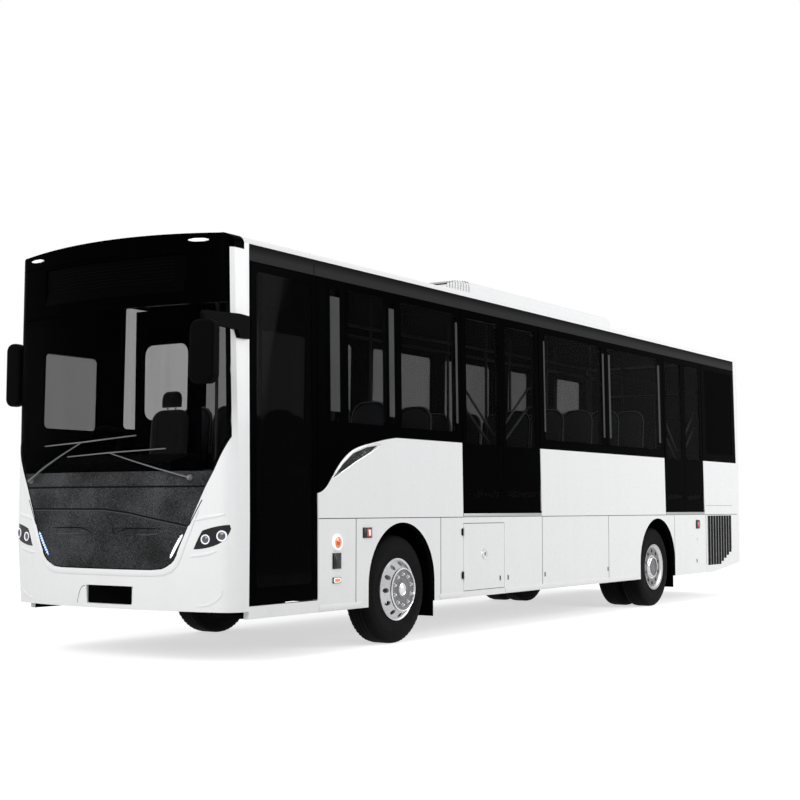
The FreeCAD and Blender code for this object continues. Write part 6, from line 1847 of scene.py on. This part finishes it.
TAIL_LENSES = ((0, 0.03, 0.36), (1, 0.41, 0.27), (2, 0.70, 0.27))
REAR_PLATE_Z = 0.5385


class BUS_OT_make_tail_fittings(Operator):
    """Add the tail lamp lenses, rear plate, reflectors, lid handle and vents of the back."""

    bl_idname = "bus.make_tail_fittings"
    bl_label = "Make tail fittings"

    def execute(self, context):
        lamps = bmesh.new()
        mesh = NODES["signal_lamps"].data
        for group in islands(mesh):
            low, high = spread(mesh, group)
            if high.y < TAIL - 0.4:
                continue
            wide, tall = high.x - low.x, high.z - low.z
            for slot, foot, share in TAIL_LENSES:
                z = low.z + tall * foot + tall * share / 2
                spot = from_behind("signal_lamps", (low.x + high.x) / 2, z)[0] - Vector((0, 0.002, 0))
                badge(lamps, wide * 0.74, tall * share, 0.018, spot, (-1, 0, 0), 0.006, 0.003, slot, 5)
        add_piece("tail_lamp_lenses", lamps, ["lens_red", "lens_white", "lens_amber"], "body")
        bm = bmesh.new()
        back = self.back(0, REAR_PLATE_Z).y
        badge(bm, 0.51, 0.108, 0.010, (0, back, REAR_PLATE_Z), (-1, 0, 0), 0.007, 0.003, 0)
        # The plate's face takes the white lens finish, whose glow is painted brightness on a part that is no
        # lamp; the red reflectors glow the same way.
        badge(bm, 0.496, 0.094, 0.008, (0, back + 0.005, REAR_PLATE_Z), (-1, 0, 0), 0.004, 0.002, 1)
        for x in (-0.95, 0.95):
            reflector = [(-0.002, 0.042), (0.006, 0.040), (0.008, 0.032), (0.008, 0.0)]
            turn(bm, reflector, self.back(x, 0.55), (0, 1, 0), 28, 2)
        finishes = ["black_plastic", "lens_white", "lens_red"]
        add_piece("rear_plate_and_reflectors", bm, finishes, "body")
        lid = bmesh.new()
        handle = from_behind("engine_lid", 0, 0.74)[0] - Vector((0, 0.001, 0))
        badge(lid, 0.16, 0.05, 0.012, handle, (-1, 0, 0), 0.008, 0.003)
        for i in range(8):
            vent = [from_behind("engine_lid", -0.70 + 1.40 * j / 12, 1.10 + i * 0.055) for j in range(13)]
            bead(lid, vent, 0.026, 0.003)
        add_piece("lid_handle_and_vents", lid, "black_plastic", "engine_lid")
        return {"FINISHED"}

    def back(self, x, z):
        """Place on the bumper, or on the wall where no bumper is."""
        return (from_behind("rear_bumper", x, z) or from_behind("rear_wall", x, z))[0]


# Studio: the photo's camera as a place and yaw, pitch and roll in radians

CAMERA_PLACE = (8.4816, -14.2243, 1.2642)
CAMERA_TURN = (0.58023, 0.07547, 0.00105)
FLOOR_HALF, FLOOR_CELLS = 45.0, 12


class BUS_OT_set_stage(Operator):
    """Lay the pale floor, light the studio and place the camera."""

    bl_idname = "bus.set_stage"
    bl_label = "Set stage"

    def execute(self, context):
        scene = context.scene
        stage = scene.bus_stage
        self.world(scene, stage)
        self.floor(scene, stage)
        self.lamp(scene, "key_lamp", (2.0, -18.0, 9.0), (0.0, -3.0, 1.2), 9.0, stage.key)
        self.lamp(scene, "fill_lamp", (16.0, 8.0, 8.0), (1.0, 1.5, 1.6), 9.0, stage.key * 1.17)
        self.camera(scene, stage)
        scene.view_settings.view_transform = "Standard"
        return {"FINISHED"}

    def seen(self, tree):
        """Factor that is 1 for camera, glossy and transmission rays."""
        path = add_node(tree, "ShaderNodeLightPath")
        total = maths(tree, "ADD", path.outputs["Is Camera Ray"], path.outputs["Is Glossy Ray"], True)
        return maths(tree, "ADD", total, path.outputs["Is Transmission Ray"], True)

    def world(self, scene, stage):
        """White to the camera, softer as a light."""
        world = bpy.data.worlds.new("studio")
        scene.world = world
        world.use_nodes = True
        tree = world.node_tree
        tree.nodes.clear()
        lit = add_node(tree, "ShaderNodeBackground", {"Color": (1, 1, 1, 1), "Strength": stage.sky})
        seen = add_node(tree, "ShaderNodeBackground", {"Color": (1, 1, 1, 1), "Strength": 1.0})
        mix = add_node(tree, "ShaderNodeMixShader")
        out = add_node(tree, "ShaderNodeOutputWorld")
        wire(tree, self.seen(tree), mix.inputs[0])
        wire(tree, lit.outputs[0], mix.inputs[1])
        wire(tree, seen.outputs[0], mix.inputs[2])
        wire(tree, mix.outputs[0], out.inputs[0])

    def floor(self, scene, stage):
        """Pale floor that shows white to the camera."""
        bm = bmesh.new()
        half, count = FLOOR_HALF, FLOOR_CELLS
        rows = []
        for i in range(count + 1):
            y = -half + 2 * half * i / count
            rows.append([(-half + 2 * half * j / count, y, 0.0) for j in range(count + 1)])
        quads(bm, rows)
        mesh = bpy.data.meshes.new("studio_floor")
        bm.to_mesh(mesh)
        bm.free()
        floor = bpy.data.objects.new("studio_floor", mesh)
        scene.collection.objects.link(floor)
        material = bpy.data.materials.new("studio_floor")
        material.use_nodes = True
        tree = material.node_tree
        tree.nodes.clear()
        plain = add_node(tree, "ShaderNodeBsdfDiffuse", {"Color": colour4(stage.floor, 0.75)})
        pale = add_node(tree, "ShaderNodeBsdfDiffuse", {"Color": colour4(stage.floor)})
        glow = add_node(tree, "ShaderNodeEmission", {"Color": (1, 1, 1, 1), "Strength": 0.62})
        both = add_node(tree, "ShaderNodeAddShader")
        mix = add_node(tree, "ShaderNodeMixShader")
        out = add_node(tree, "ShaderNodeOutputMaterial")
        wire(tree, pale.outputs[0], both.inputs[0])
        wire(tree, glow.outputs[0], both.inputs[1])
        wire(tree, self.seen(tree), mix.inputs[0])
        wire(tree, plain.outputs[0], mix.inputs[1])
        wire(tree, both.outputs[0], mix.inputs[2])
        wire(tree, mix.outputs[0], out.inputs[0])
        mesh.materials.append(material)

    def lamp(self, scene, name, place, target, size, power):
        """Square soft lamp."""
        data = bpy.data.lights.new(name, "AREA")
        data.shape = "SQUARE"
        data.size = size
        data.energy = power
        lamp = bpy.data.objects.new(name, data)
        scene.collection.objects.link(lamp)
        way = Vector(target) - Vector(place)
        lamp.rotation_euler = way.to_track_quat("-Z", "Y").to_euler()
        lamp.location = place

    def camera(self, scene, stage):
        """Camera where the photo's was solved to be."""
        data = bpy.data.cameras.new("camera")
        data.sensor_width = 36.0
        data.lens = stage.lens
        data.clip_end = 300.0
        camera = bpy.data.objects.new("camera", data)
        scene.collection.objects.link(camera)
        yaw, pitch, roll = CAMERA_TURN
        ahead = Vector((-math.sin(yaw) * math.cos(pitch), math.cos(yaw) * math.cos(pitch), math.sin(pitch)))
        level = Vector((math.cos(yaw), math.sin(yaw), 0.0))
        upright = level.cross(ahead)
        right = level * math.cos(roll) + upright * math.sin(roll)
        up = right.cross(ahead)
        turned = Matrix((right, up, -ahead)).transposed().to_4x4()
        camera.matrix_world = Matrix.Translation(CAMERA_PLACE) @ turned
        scene.camera = camera


class BUS_PT_dressing(Panel):
    """Lists the groups of pieces of the city bus."""

    bl_idname = "BUS_PT_dressing"
    bl_label = "City bus"
    bl_space_type = "VIEW_3D"
    bl_region_type = "UI"
    bl_category = "City Bus"

    def draw(self, context):
        for operator in STEPS:
            self.layout.operator(operator.bl_idname)
        for name in SETTINGS:
            group = getattr(context.scene, name)
            box = self.layout.box()
            for key in type(group).__annotations__:
                box.prop(group, key)


SETTINGS = {"bus_paint": BusPaint, "bus_glass": BusGlass, "bus_wheels": BusWheels, "bus_lamps": BusLamps,
            "bus_cabin": BusCabin, "bus_stage": BusStage}
STEPS = [BUS_OT_finish_panels, BUS_OT_make_tyres, BUS_OT_make_wheel_fittings, BUS_OT_make_headlamps,
         BUS_OT_make_face_mouldings, BUS_OT_make_wipers, BUS_OT_make_face_fittings, BUS_OT_make_seams,
         BUS_OT_make_flank_trim, BUS_OT_make_grilles, BUS_OT_make_side_lamps, BUS_OT_make_flank_fittings,
         BUS_OT_make_passenger_seats, BUS_OT_make_driver_seat, BUS_OT_make_cabin_lining,
         BUS_OT_make_mirror_fittings, BUS_OT_make_tail_fittings, BUS_OT_set_stage]


def register():
    """Add the settings, operators and panel."""
    for name, group in SETTINGS.items():
        bpy.utils.register_class(group)
        setattr(bpy.types.Scene, name, PointerProperty(type=group))
    for operator in STEPS:
        bpy.utils.register_class(operator)
    bpy.utils.register_class(BUS_PT_dressing)


def unregister():
    """Take the settings, operators and panel away."""
    bpy.utils.unregister_class(BUS_PT_dressing)
    for operator in reversed(STEPS):
        bpy.utils.unregister_class(operator)
    for name, group in reversed(SETTINGS.items()):
        delattr(bpy.types.Scene, name)
        bpy.utils.unregister_class(group)


def main():
    """Dress the bus step by step."""
    register()
    for operator in STEPS:
        area, name = operator.bl_idname.split(".")
        getattr(getattr(bpy.ops, area), name)()


if __name__ == "__main__":
    main()
